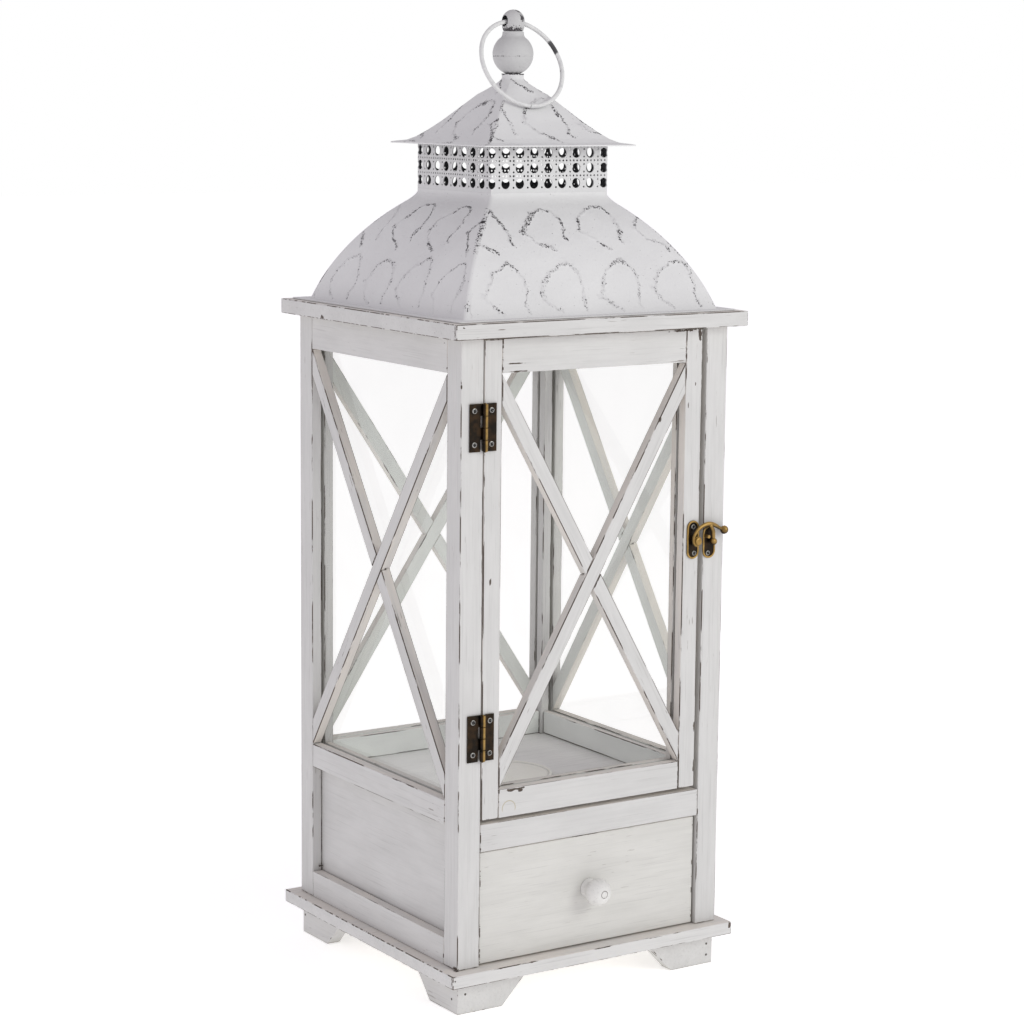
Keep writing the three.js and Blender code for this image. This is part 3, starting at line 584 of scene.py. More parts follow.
def chamfered(low, high, radius, chamfer):
    """The profile of a round bar with chamfered ends, for turned."""
    return [(0, low), (radius - chamfer, low), (radius, low + chamfer),
            (radius, high - chamfer), (radius - chamfer, high), (0, high)]


def circle(centre, radius, steps):
    return arc(centre, radius, 0, 360, steps)[:-1]


def long_round(x, low, high, radius, steps=16):
    """An upright outline with half-round ends."""
    top = arc((x, high - radius), radius, 0, 180, steps)
    return top + arc((x, low + radius), radius, 180, 360, steps)


def cut_sheet(outlines, thickness, bevel=0.0):
    """A bmesh of a flat sheet in X and Y: the first outline less the others, from Z = 0 up."""
    curve = bpy.data.curves.new("sheet", "CURVE")
    curve.dimensions = "2D"
    curve.fill_mode = "BOTH"
    curve.extrude = thickness / 2 - bevel
    curve.bevel_depth = bevel
    curve.bevel_resolution = 2
    curve.offset = -bevel
    for outline in outlines:
        spline = curve.splines.new("POLY")
        spline.points.add(len(outline) - 1)
        spline.use_cyclic_u = True
        for point, (x, y) in zip(spline.points, outline):
            point.co = (x, y, 0, 1)
    holder = bpy.data.objects.new("sheet", curve)
    bpy.context.scene.collection.objects.link(holder)
    view = bpy.context.evaluated_depsgraph_get()
    mesh = bpy.data.meshes.new_from_object(holder.evaluated_get(view), depsgraph=view)
    bpy.data.objects.remove(holder)
    bpy.data.curves.remove(curve)
    builder = bmesh.new()
    builder.from_mesh(mesh)
    bpy.data.meshes.remove(mesh)
    bmesh.ops.remove_doubles(builder, verts=builder.verts, dist=1e-7)
    bmesh.ops.translate(builder, verts=builder.verts, vec=(0, 0, thickness / 2))
    return builder


def hoop(centre, radius, side, steps):
    """Points round a wire, on a circle between a direction and Y."""
    turns = [2 * math.pi * step / steps for step in range(steps)]
    return [centre + radius * (math.cos(t) * side + Vector((0, math.sin(t), 0))) for t in turns]


def absorb(builder, other, matrix=Matrix.Identity(4)):
    """Adds another bmesh to this one, moved by a matrix, and frees it."""
    mesh = bpy.data.meshes.new("part")
    other.to_mesh(mesh)
    other.free()
    mesh.transform(matrix)
    builder.from_mesh(mesh)
    bpy.data.meshes.remove(mesh)


UPRIGHT = Matrix.Rotation(math.pi / 2, 4, "X")  # turns Z to the front, -Y


def out_of_front(place):
    """Turns a shape made in X and Y, with Z up, to stand on a face of the front at a place."""
    return Matrix.Translation(place) @ UPRIGHT


def out_of_left(place):
    """Turns a shape made in X and Y, with Z up, to stand on a face of the left side."""
    return Matrix.Translation(place) @ Matrix.Rotation(-math.pi / 2, 4, "Z") @ UPRIGHT


def cut_away(mesh, cutters):
    """A new mesh: a closed mesh less other closed meshes. All of the given ones are freed."""
    link = bpy.context.scene.collection.objects.link
    piece = bpy.data.objects.new("piece", mesh)
    link(piece)
    tools = []
    for cutter in cutters:
        tool = bpy.data.objects.new("cutter", cutter)
        link(tool)
        tools.append(tool)
        cut = piece.modifiers.new("cut", "BOOLEAN")
        cut.object = tool
        cut.operation = "DIFFERENCE"
        cut.solver = "EXACT"
    view = bpy.context.evaluated_depsgraph_get()
    result = bpy.data.meshes.new_from_object(piece.evaluated_get(view), depsgraph=view)
    for item in [piece, *tools]:
        data = item.data
        bpy.data.objects.remove(item)
        bpy.data.meshes.remove(data)
    builder = bmesh.new()
    builder.from_mesh(result)
    bpy.data.meshes.remove(result)
    return builder


def block(size, matrix):
    """The mesh of a box with its middle at the origin, moved by a matrix."""
    builder = bmesh.new()
    bmesh.ops.create_cube(builder, size=1.0, matrix=matrix @ Matrix.Diagonal((*size, 1)))
    mesh = bpy.data.meshes.new("block")
    builder.to_mesh(mesh)
    builder.free()
    return mesh


# ---------- wooden boards ----------

BOARD_BEVEL = 0.0006
# How far the edges of boards are rubbed, by how the nodes' names start.
WEAR = {"cornice": 0.9, "base": 0.85, "door_rail": 0.75, "door_brace": 1.05, "brace": 1.2,
        "foot": 0.55, "post": 0.7, "door_stile": 0.85, "drawer_front": 0.45, "mid_rail": 0.65,
        "panel": 0.0, "bottom_rail": 0.6, "top_rail": 0.4, "floor": 0.3}
OTHER_WEAR, FAR_BRACE_WEAR = 0.4, 0.5
# How light boards are, where they aren't as the rest. The floor's is painted light: it lies inside the
# lantern, where less light reaches.
TONE = {"floor": 1.38, "drawer": 1.06, "turned_knob": 1.18, "base": 1.05}


def by_start(table, name, otherwise):
    """What a table says for the first of its keys that a name starts with."""
    return next((amount for key, amount in table.items() if name.startswith(key)), otherwise)


def grain_of(node):
    """The direction of a board's grain: along its longest side, or along a brace's slope."""
    low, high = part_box(node)
    size = high - low
    if "brace" in node:
        side = node.rsplit("_", 1)[1]
        rise = 1 if "rising" in node else -1
        level = {"right": (0, 1), "left": (0, -1), "back": (-1, 0)}.get(side, (1, 0))
        run = max(size.x, size.y)
        return Vector((level[0] * run * rise, level[1] * run * rise, size.z)).normalized()
    longest = max(range(3), key=lambda axis: size[axis])
    return Vector([1.0 if axis == longest else 0.0 for axis in range(3)])


def show_of(node):
    """The axes along which a board's well painted faces look."""
    if node.startswith(("post", "base", "cornice", "foot")):
        return (1.0, 1.0, 0.0)
    if node.startswith("floor"):
        return (0.0, 0.0, 1.0)
    if node.startswith(("door", "drawer")) or node.endswith(("front", "back")):
        return (0.0, 1.0, 0.0)
    return (1.0, 0.0, 0.0)


def outward_of(node):
    """The direction in which a brace's or rail's show face looks. Other boards have none."""
    if "brace" not in node and "rail" not in node:
        return (0.0, 0.0, 0.0)
    side = node.rsplit("_", 1)[1]
    sides = {"right": (1.0, 0.0, 0.0), "left": (-1.0, 0.0, 0.0), "back": (0.0, 1.0, 0.0)}
    return sides.get(side, (0.0, -1.0, 0.0))


def dress_board(board, grain, show, wear, warmth, draw, outward=(0.0, 0.0, 0.0)):
    """Sets the properties that painted_wood reads."""
    board["tone"] = by_start(TONE, board.name, 1.0)
    board["outward"] = list(outward)
    board["grain"] = list(grain)
    board["show"] = list(show)
    board["board"] = [draw.uniform(-3, 3) for _ in range(3)]
    board["wear"] = wear
    board["warmth"] = warmth


def dress_boards():
    """Gives the CAD boards rounded edges and their paint."""
    draw = random.Random(11)
    for record in frame["record"]["subparts"]:
        node = record["node"]
        if record["material_slot"] != "painted_wood" or node == "drawer_knob":
            continue
        board = NODES[node]
        wear = by_start(WEAR, node, OTHER_WEAR)
        if node.startswith("brace") and node.endswith(("back", "right")):
            wear = FAR_BRACE_WEAR
        warmth = 1.0 if node.startswith("drawer") else 0.3
        dress_board(board, grain_of(node), show_of(node), wear, warmth, draw, outward_of(node))
        board.data.materials.clear()
        board.data.materials.append(WOOD)
        board.data.materials.append(WOOD_EDGE)
        board.data.shade_flat()
        weld = board.modifiers.new("weld", "WELD")
        weld.merge_threshold = 1e-5
        bevel = board.modifiers.new("edges", "BEVEL")
        bevel.width = BOARD_BEVEL
        bevel.segments = 2
        bevel.material = 1
        bevel.limit_method = "ANGLE"
        bevel.angle_limit = math.radians(30)


def dress_glass():
    """Gives the CAD panes their glass. Clear panes don't dim what is behind them."""
    for name in ("glass_right", "glass_back", "glass_left", "door_glass"):
        pane = NODES[name]
        pane.data.materials.clear()
        pane.data.materials.append(GLASS)
        pane.data.shade_flat()
        pane.visible_shadow = False
        pane.visible_diffuse = False


# ---------- roof ----------

SHEET = 0.0008
CORNER_STEPS = 4
LEAF_PITCH = (0.0495, 0.051)
# One leaf of the pattern: an arch with a tail, and a stroke that crosses below its left foot.
LEAF_ARCH = [(-18, 0), (-15, 8), (-9, 15.5), (-1, 21), (7, 23.5), (12, 20.5), (15.7, 14), (17.6, 6),
             (17.5, 0), (15, -9), (17, -12.5)]
LEAF_STROKE = [(-20, 0), (-13, -6.5), (-6, -12.2), (2, -20)]


def distance_to_line(points, line):
    """The distance from each of many [u, v] points to a polyline, and on which side it lies."""
    best, side = np.full(len(points), 1e9), np.ones(len(points))
    for start, end in zip(line[:-1], line[1:]):
        start, step = np.array(start), np.array(end) - np.array(start)
        away = points - start
        share = np.clip((away @ step) / (step @ step), 0, 1)
        distance = np.linalg.norm(away - share[:, None] * step, axis=1)
        turn = np.sign(step[0] * away[:, 1] - step[1] * away[:, 0])
        side = np.where(distance < best, turn, side)
        best = np.minimum(best, distance)
    return best, side


def emboss(across, upward, seed, phase):
    """For points of a roof face, in metres across and up its slope: the pattern's relief, in
    metres, how close each is to one of its lines, and how far off it with a sign."""
    count = len(across)
    warp = np.empty((count, 2))
    patch = np.empty(count)
    for index in range(count):
        u, v = across[index], upward[index]
        slow = noise.noise_vector(Vector((u * 22, v * 22, seed + 4)))
        drift = noise.noise_vector(Vector((u * 75, v * 75, seed)))
        fine = noise.noise_vector(Vector((u * 300, v * 300, seed)))
        moved = slow * 0.0034 + drift * 0.0034 + fine * 0.0018
        warp[index] = moved.x, moved.y
        patch[index] = noise.noise(Vector((u * 80, v * 80, seed + 9)))
    pitch = np.array(LEAF_PITCH)
    points = np.stack([across, upward], axis=1) + warp - np.array(phase)
    local = ((points / pitch + 0.5) % 1 - 0.5) * pitch
    near, lean = np.full(count, 1e9), np.zeros(count)
    for column in (-1, 0, 1):
        for row in (-1, 0, 1):
            moved = (local - np.array((column, row)) * pitch) / MM
            for line in (LEAF_ARCH, LEAF_STROKE):
                distance, side = distance_to_line(moved, line)
                lean = np.where(distance < near, distance * side, lean)
                near = np.minimum(near, distance)
    strength = np.clip(0.7 + 0.9 * patch, 0.15, 1.0)
    relief = 0.0006 * np.exp(-(near / 1.1) ** 2) * strength + 0.0003 * patch
    return relief, np.clip(1 - near / 3, 0, 1), lean


def ring_outline(per_side):
    """The points round a square, as (side, share of the half width, turn round the corner)."""
    ring = []
    for side in range(4):
        ring += [(side, 2 * step / per_side - 1, 0) for step in range(per_side + 1)]
        ring += [(side, 1.0, 2 * step / CORNER_STEPS) for step in range(1, CORNER_STEPS)]
    return ring


def on_side(x, y, side):
    """Turns a point of a square's front to one of its four sides."""
    turn = math.radians(90 * side)
    return x * math.cos(turn) - y * math.sin(turn), x * math.sin(turn) + y * math.cos(turn)


def ring_point(half, radius, side, share, bend):
    """A point of a square with rounded corners. Side 0 is the front, and share runs along +X."""
    reach = half - radius
    if bend:
        angle = math.radians(-90 + 45 * bend)
        x, y = reach + radius * math.cos(angle), -reach + radius * math.sin(angle)
    else:
        x, y = share * reach, -half
    return on_side(x, y, side)


def square_shell(outer, inner, per_side, corner_radius, seed, phase, relief_rows, round_from=1.0):
    """A closed sheet that follows a profile of [half width, height] round a square, outside and
    back inside, with rounded hips. relief_rows are the outer rows that carry the pattern. Above
    round_from, in metres, the square turns into a circle within 10 mm."""
    rows = outer + inner
    steps = [math.dist(a, b) for a, b in zip(outer, outer[1:])]
    length = np.concatenate([[0], np.cumsum(steps)])
    first, last = relief_rows
    length = length - length[first]
    ring = ring_outline(per_side)
    shares = np.array([share for _, share, _ in ring])
    sides = np.array([side for side, _, _ in ring])
    bends = np.array([bend for _, _, bend in ring])
    facing = np.radians(90 * sides - 90 + 45 * bends)
    places = np.zeros((len(rows), len(ring), 3))
    ridge, lean, fold = (np.zeros((len(rows), len(ring))) for _ in range(3))
    for row, (half, height) in enumerate(rows):
        rounding = max(0.0, min(1.0, (height - round_from) / 0.010))
        radius = min(corner_radius, half * 0.3) * (1 - rounding)
        for column, (side, share, bend) in enumerate(ring):
            flat = ring_point(half, radius, side, share, bend)
            angle = math.atan2(flat[1], flat[0])
            disc = (half * math.cos(angle), half * math.sin(angle))
            places[row, column, :2] = [f + (d - f) * rounding for f, d in zip(flat, disc)]
            places[row, column, 2] = height
    for row in range(first, last):
        half = rows[row][0]
        before, after = rows[row - 1], rows[row + 1]
        slope = Vector((after[0] - before[0], after[1] - before[1])).normalized()
        relief = np.zeros(len(ring))
        for side in range(4):
            chosen = sides == side
            upward = np.full(chosen.sum(), length[row])
            found = emboss(shares[chosen] * half, upward, seed + 5 * side, phase)
            relief[chosen], ridge[row, chosen], lean[row, chosen] = found
        hip = half * (1 - np.abs(shares))
        fade = np.clip(hip / 0.006, 0, 1) * min(1.0, (row - first) / 3, (last - 1 - row) / 3)
        relief = relief * fade
        places[row, :, 0] += np.cos(facing) * slope.y * relief
        places[row, :, 1] += np.sin(facing) * slope.y * relief
        places[row, :, 2] -= slope.x * relief
        fold[row] = np.clip(1 - hip / 0.0026, 0, 1)
    if round_from < 1:
        fold[len(outer) - 1] = 2.2  # the neck's top edge: painted shade of the gap round the ball's stem, drawn as a broken dark rim
    builder = bmesh.new()
    stitch(builder, [[builder.verts.new(place) for place in line] for line in places], True)
    mesh = mesh_of(builder, 50)
    inside = np.zeros((len(rows), len(ring)))
    inside[len(outer):] = 1
    for name, values in (("ridge", ridge), ("lean", lean), ("fold", fold), ("inside", inside)):
        attribute(mesh, name, values.ravel())
    mesh.transform(Matrix.Translation((0, AXIS_Y, 0)))
    return mesh


def resampled(points, spacing):
    """Points along a polyline at about even spacing, with its own corners kept."""
    result = [points[0]]
    for start, end in zip(points, points[1:]):
        steps = max(1, round(math.dist(start, end) / spacing))
        for step in range(1, steps + 1):
            share = step / steps
            result.append(tuple(a + (b - a) * share for a, b in zip(start, end)))
    return result


def roof_dome():
    low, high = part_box("roof_dome")
    flange = high.x
    base, top = low.z, high.z
    foot_half, foot_z = 0.1087, base + 0.0017
    neck_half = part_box("vent_collar")[1].x - 0.0003
    sagitta = 0.0076
    chord = math.dist((foot_half, foot_z), (neck_half, top))
    radius = chord ** 2 / (8 * sagitta) + sagitta / 2
    tilt = math.atan2(top - foot_z, neck_half - foot_half)
    centre = Vector(((foot_half + neck_half) / 2, (foot_z + top) / 2))
    centre += Vector((-math.sin(tilt), math.cos(tilt))) * (radius - sagitta)
    swing = math.degrees(math.asin(chord / 2 / radius))
    facing = math.degrees(tilt) - 90
    curve = arc(centre, radius, facing - swing, facing + swing, 96)
    flat = resampled([(flange, base + SHEET), (foot_half + 0.0006, base + SHEET)], 0.003)
    start, bend = Vector(curve[-9]), Vector((neck_half + 0.0007, top))
    end = Vector((neck_half + 0.0004, top + 0.004))
    shoulder = [tuple(start * (1 - t) ** 2 + bend * (2 * t - 2 * t * t) + end * t * t)
                for t in (step / 10 for step in range(11))]
    outer = [(flange, base)] + flat + curve[1:-9] + shoulder
    inside = [(half - SHEET, z - 0.4 * SHEET) for half, z in curve[::-10]]
    inner = inside[:-1] + [(foot_half - 1.5 * SHEET, base)]
    rows = (len(flat) + 1, len(outer) - len(shoulder))
    mesh = square_shell(outer, inner, 186, 0.0022, 3.0, (-0.0215, 0.0645), rows)
    new_piece("embossed_dome", mesh, "cabinet", ENAMEL, ["roof_dome"])


def roof_cap():
    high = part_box("roof_cap")[1]
    brim = high.x
    neck = 0.0083
    neck_z = high.z - 0.0042
    slope = [(0.0565, 0.6139), (0.0515, 0.6165), (0.0455, 0.6212), (0.0375, 0.6285), (neck, neck_z)]
    outer = [(brim, 0.61155), (brim, 0.61235)] + resampled([(brim - 0.0004, 0.6126)] + slope, 0.0011)
    outer += [(neck - 0.0003, neck_z + 0.0010), (neck - 0.0003, neck_z + 0.0024), (neck, high.z - 0.0002)]
    inner = [(neck - SHEET, high.z - 0.0002)] + [(h - 0.4 * SHEET, z - SHEET) for h, z in slope[::-1]]
    round_from = neck_z - 0.011
    mesh = square_shell(outer, inner, 96, 0.0014, 31.0, (0.004, 0.030), (3, len(outer) - 3), round_from)
    new_piece("embossed_cap", mesh, "cabinet", ENAMEL, ["roof_cap"])


LARGE_HOLE, SMALL_HOLE = 0.0036, 0.00076
LEFT_SHIFT = 0.00075  # how far the upright rows of small holes stand right of the middle


def vent_collar():
    """A perforated strip, folded round the square: three rows of large holes, with rows of
    small ones between them. It starts at the far corner, and its first and last sides have
    their holes a little further along."""
    low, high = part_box("vent_collar")
    half = high.x
    wall = 0.0007
    columns = 33
    around = 8 * half
    pitch = around / columns
    rows = [0.6066, 0.5958, 0.5849]
    row_gap = rows[0] - rows[1]
    holes = []
    shifted, last_shifted = 8, 25  # the columns between these are evenly spread
    for column in range(columns):
        if column < shifted:
            x = (0.89 + 0.985 * column) * pitch
        else:
            x = (column + (0.5 if column < last_shifted else 0.6)) * pitch
        left = x - pitch / 2 + LEFT_SHIFT
        holes += [circle((x, z), LARGE_HOLE, 24) for z in rows]
        for z in (rows[0] + row_gap * 0.43, (rows[0] + rows[1]) / 2, (rows[1] + rows[2]) / 2):
            # Where two small holes would cut into a large one, they are left out.
            count = 3 if column == shifted - 1 else 4
            holes += [circle((left + pitch * step / 4, z), SMALL_HOLE, 8) for step in range(count)]
        if column != shifted:
            for z in rows:
                holes += [circle((left, z + step * row_gap / 4), SMALL_HOLE, 8) for step in (-1, 1)]
    foot = low.z - 0.0012  # tucked into the dome's neck
    sheet = cut_sheet([[(0, foot), (around, foot), (around, high.z), (0, high.z)]] + holes, wall)
    near_corner = 16.5 * pitch
    for side in range(-2, 3):
        x = near_corner + 2 * half * side
        if 0 < x < around:
            bmesh.ops.bisect_plane(sheet, geom=sheet.verts[:] + sheet.edges[:] + sheet.faces[:],
                                   plane_co=(x, 0, 0), plane_no=(1, 0, 0), dist=1e-7)
    for vert in sheet.verts:
        flat = vert.co.copy()
        along = (flat.x - near_corner) % around
        side = min(int(along / (2 * half) + 1e-6), 3)
        share = along - 2 * half * side
        depth = half - wall + flat.z
        x, y = on_side((share - half) * (depth / half), -depth, side)
        vert.co = (x, y + AXIS_Y, flat.y)
    bmesh.ops.remove_doubles(sheet, verts=sheet.verts, dist=1e-6)
    mesh = mesh_of(sheet, 30)
    depth = [max(abs(vert.co.x), abs(vert.co.y - AXIS_Y)) for vert in mesh.vertices]
    attribute(mesh, "inside", [1.0 if d < half - wall / 2 else 0.0 for d in depth])
    new_piece("perforated_collar", mesh, "cabinet", COLLAR_ENAMEL, ["vent_collar"])


def blot_depth(place, centre, reach):
    """How deep a place is in a blot round a centre: 1 there, 0 from a reach off. Blots mark chips, and
    painted shade where the finial's parts meet.
    """
    return max(0.0, 1 - (place - Vector(centre)).length / reach) ** 0.5


BALL_Z, SEAM_Z = 0.6768, -0.0015  # the ball's middle, and its seam's height from there
EYE_Z, EYE_RADIUS = 0.7006, 0.0038
# Where the knob is chipped, and at its narrow foot on the ball painted shade: how deeply, the place in
# millimetres, and the reach in metres.
KNOB_CHIPS_AND_SHADE = [(2.3, (1.8, -3.5, 708.0), 0.0030), (2.1, (3.0, -7.9, 703.0), 0.0034),
              (3.2, (-1, -1, 692.5), 0.0088)]


def finial():
    low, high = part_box("finial_ball")
    radius = high.x
    centre = BALL_Z
    stem = 0.005
    profile = [(0, low.z + 0.001), (stem, low.z + 0.001), (stem, centre - 0.0142)]
    profile += arc((0, centre), radius, -66, -8, 14)
    profile += [(radius - 0.0003, centre - 0.0018), (radius - 0.0003, centre - 0.0013)]
    profile += arc((0, centre), radius, -3, 48, 12)
    profile += [(0.0089, centre + 0.0120), (0.0082, centre + 0.0130), (0.0079, centre + 0.0141),
                (0.0078, high.z - 0.0004), (0.0074, high.z), (0, high.z)]
    mesh = mesh_of(turned(resampled(profile, 0.0012), 72), 30)
    # The ball's seam, and painted shade at its foot, where it sits in the cap's neck.
    attribute(mesh, "fold", [blot_depth(v.co, (0, 0, centre - 0.014), 0.0085) * 2.2
                             + 1.2 * float(abs(v.co.z - centre - SEAM_Z) < 0.0005)
                             for v in mesh.vertices])
    mesh.transform(Matrix.Translation((0, AXIS_Y, 0)))
    new_piece("finial_globe", mesh, "cabinet", FINIAL_ENAMEL, ["finial_ball"])
    low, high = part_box("finial_eye")
    radius = 0.0084
    dome = high.z - radius
    profile = [(0, low.z), (0.0070, low.z), (0.0074, low.z + 0.0006), (radius - 0.0003, low.z + 0.0026)]
    profile += arc((0, dome), radius, 0, 90, 14)[:-1] + [(0, high.z)]
    knob = mesh_of(turned(resampled(profile, 0.0012), 48), 30)
    knob.transform(Matrix.Translation((0, AXIS_Y, 0)))
    drill = bmesh.new()
    bmesh.ops.create_cone(drill, cap_ends=True, segments=32, radius1=EYE_RADIUS, radius2=EYE_RADIUS,
                          depth=0.04)
    cutter = bpy.data.meshes.new("drill")
    drill.to_mesh(cutter)
    drill.free()
    cutter.transform(Matrix.Translation((0, AXIS_Y, EYE_Z)) @ Matrix.Rotation(math.pi / 2, 4, "Y"))
    mesh = mesh_of(cut_away(knob, [cutter]), 40)
    attribute(mesh, "inside", [float(math.hypot(v.co.y - AXIS_Y, v.co.z - EYE_Z) < EYE_RADIUS + 0.0001)
                               for v in mesh.vertices])
    attribute(mesh, "fold", [max(depth * blot_depth(v.co, at(*centre), reach)
                                 for depth, centre, reach in KNOB_CHIPS_AND_SHADE) for v in mesh.vertices])
    new_piece("finial_eye_knob", mesh, "cabinet", FINIAL_ENAMEL, ["finial_eye"])


def lifting_ring():
    """A wire ring that hangs in the eye and leans on the cap, a little out of round."""
    radius, wire = 0.0338, 0.0016
    top = at(-1.9, 0, 700.2)
    lean = math.radians(26.6)
    around = 128
    builder = bmesh.new()
    rings = []
    for step in range(around):
        angle = 2 * math.pi * step / around
        wobble = 0.00025 * noise.noise(Vector((math.cos(angle) * 2, math.sin(angle) * 2, 4)))
        outward = Vector((math.sin(angle), 0, math.cos(angle)))
        centre = outward * (radius + wobble) - Vector((0, 0, radius))
        rings.append([builder.verts.new(place) for place in hoop(centre, wire, outward, 16)])
    stitch(builder, rings, True)
    mesh = mesh_of(builder)
    mesh.transform(Matrix.Translation(top) @ Matrix.Rotation(-lean, 4, "X"))
    new_piece("wire_ring", mesh, "lifting_ring", RING_PAINT, ["lifting_ring"])


# ---------- brass hardware, screws and nails ----------

POST_LEAF_WIDTH, DOOR_LEAF_WIDTH, LEAF_THICKNESS = 0.0116, 0.0102, 0.0011
KNUCKLE_RADIUS = 0.00205
HINGE_HALF = 0.01675
PIN_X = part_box("hinge_upper_door_leaf")[0].x + KNUCKLE_RADIUS
PIN_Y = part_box("hinge_upper_post_leaf")[0].y + KNUCKLE_RADIUS
PLATE_BACK_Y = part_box("hinge_upper_post_leaf")[1].y


def mark_polish_and_highlight(mesh, rule):
    """Marks how bright a brass mesh is at each vertex, by a rule of its place and normal: rubbed polish,
    and on the hinge knuckles and the latch hook a painted highlight.
    """
    attribute(mesh, "polish", [rule(vertex.co, vertex.normal) for vertex in mesh.vertices])


def hinge_leaf(level, side):
    """One leaf of a hinge, with its two knuckles. side is -1 for the post's leaf, which also
    holds the pin, and 1 for the door's."""
    owner = "post" if side < 0 else "door"
    node = f"hinge_{level}_{owner}_leaf"
    mid_z = middle(node).z
    segment = HINGE_HALF / 2
    mine = (0, 2) if side < 0 else (1, 3)
    width = POST_LEAF_WIDTH if side < 0 else DOOR_LEAF_WIDTH
    edge = [(side * width, HINGE_HALF)]
    for index in range(4):
        x = side * (0.0004 if index in mine else 0.0031)
        top = HINGE_HALF - index * segment
        edge += [(x, top), (x, top - segment)]
    edge.append((side * width, -HINGE_HALF))
    edge = list(dict.fromkeys((round(x, 6), round(y, 6)) for x, y in edge))
    builder = cut_sheet([edge], LEAF_THICKNESS, 0.00015)
    hub = Matrix.Translation((0, 0, PLATE_BACK_Y - PIN_Y)) @ Matrix.Rotation(-math.pi / 2, 4, "X")
    for index in mine:
        low = HINGE_HALF - (index + 1) * segment + 0.00018
        high = low + segment - 0.00036
        absorb(builder, turned(chamfered(low, high, KNUCKLE_RADIUS, 0.00025), 40), hub)
    if side < 0:
        tip = HINGE_HALF + 0.0005
        absorb(builder, turned(chamfered(-tip, tip, 0.0009, 0.0003), 24), hub)
    mesh = mesh_of(builder, 40)
    mesh.transform(out_of_front((PIN_X, PLATE_BACK_Y, mid_z)))

    # Painted highlight: a knuckle is bright on the side that looks to the front, towards the key lamp.
    def rule(place, normal):
        if math.hypot(place.x - PIN_X, place.y - PIN_Y) > KNUCKLE_RADIUS * 1.02:
            return 0.0
        turn = math.degrees(math.atan2(place.x - PIN_X, PIN_Y - place.y))
        return max(0.0, min(0.72, 1.3 - abs(turn - 12) / 32))

    mark_polish_and_highlight(mesh, rule)
    body = "cabinet" if side < 0 else "door"
    new_piece(f"{level}_{owner}_leaf", mesh, body, BRASS, [node])


def screw(name, body, x, z, plate_y, turn, radius):
    """A cross-headed screw, sunk in a plate of the front. turn is its cross's, in degrees."""
    rise = 0.0005
    dish = radius * 0.66
    profile = [(0, -0.0004), (radius, -0.0004), (radius, rise * 0.4), (radius * 0.94, rise * 0.8),
               (radius * 0.84, rise), (dish * 1.08, rise), (dish, rise * 0.7),
               (dish * 0.9, rise * 0.5), (0, rise * 0.4)]
    head = mesh_of(turned(profile, 32), 30)
    slots = []
    for angle in (turn, turn + 90):
        place = Matrix.Translation((0, 0, rise)) @ Matrix.Rotation(math.radians(angle), 4, "Z")
        slots.append(block((radius * 1.35, radius * 0.26, rise * 1.9), place))
    mesh = mesh_of(cut_away(head, slots), 30)
    mark_polish_and_highlight(mesh, lambda p, n: float(math.hypot(p.x, p.y) > dish * 1.04))
    mesh.transform(out_of_front((x, plate_y, z)))
    new_piece(name, mesh, body, STEEL)


def nail(name, body, matrix, radius):
    """A small driven nail: a flat head a hair proud of the paint."""
    profile = [(0, -0.003), (radius * 0.5, -0.003), (radius * 0.5, -0.0002), (radius, -0.0001),
               (radius * 0.95, 0.00012), (radius * 0.5, 0.0002), (0, 0.0002)]
    mesh = mesh_of(turned(profile, 20), 40)
    mesh.transform(matrix)
    new_piece(name, mesh, body, IRON)


LATCH_PIVOT = (0.0874, 0.3264)
LATCH_STUD = (0.0974, 0.3290)
# Each of the latch's screws: its name, body, x, z and the turn of its cross.
LATCH_SCREWS = [("latch_screw_top", "door", 0.0862, 0.3367, 35),
                ("latch_screw_bottom", "door", 0.0873, 0.3170, 80),
                ("keeper_screw", "cabinet", 0.1000, 0.3160, 10)]


def latch_plate(name, body, node, post_at, post_of):
    """A rimmed plate of the latch, with a turned post on it. post_of gives the post's bmesh for
    its height."""
    thickness, rim_width = 0.0011, 0.0013
    low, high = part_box(node)
    x, radius = middle(node).x, (high.x - low.x) / 2
    back = high.y

    def outline(inward):
        return long_round(x, low.z + inward, high.z - inward, radius - inward)

    builder = cut_sheet([outline(0)], thickness * 0.55, 0.0001)
    absorb(builder, cut_sheet([outline(0), outline(rim_width)], thickness, rim_width * 0.3))
    absorb(builder, post_of(back - low.y), Matrix.Translation((*post_at, 0)))
    mesh = mesh_of(builder, 35)
    mesh.transform(out_of_front((0, back, 0)))
    mark_polish_and_highlight(mesh, lambda p, n: 0.75 if p.y < back - thickness * 0.8 else 0.0)
    new_piece(name, mesh, body, BRASS, [node])


def rivet(tall):
    head = 0.0028
    return turned([(0, 0), (0.0015, 0), (0.0015, tall - 0.0012), (head - 0.0002, tall - 0.0012),
                   (head, tall - 0.0009), (head * 0.93, tall - 0.0004), (head * 0.7, tall - 0.0001),
                   (head * 0.35, tall), (0, tall)], 40)


def stud(tall):
    return turned([(0, 0), (0.0013, 0), (0.0013, tall - 0.0004), (0.0010, tall - 0.0001), (0, tall)], 24)


def latch():
    latch_plate("latch_backing", "door", "latch_plate", LATCH_PIVOT, rivet)
    latch_plate("latch_keeper", "cabinet", "latch_catch", LATCH_STUD, stud)
    latch_hook(*LATCH_PIVOT)
    for name, body, x, z, turn in LATCH_SCREWS:
        screw(name, body, x, z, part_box("latch_plate")[1].y - 0.0006, turn, 0.0018)


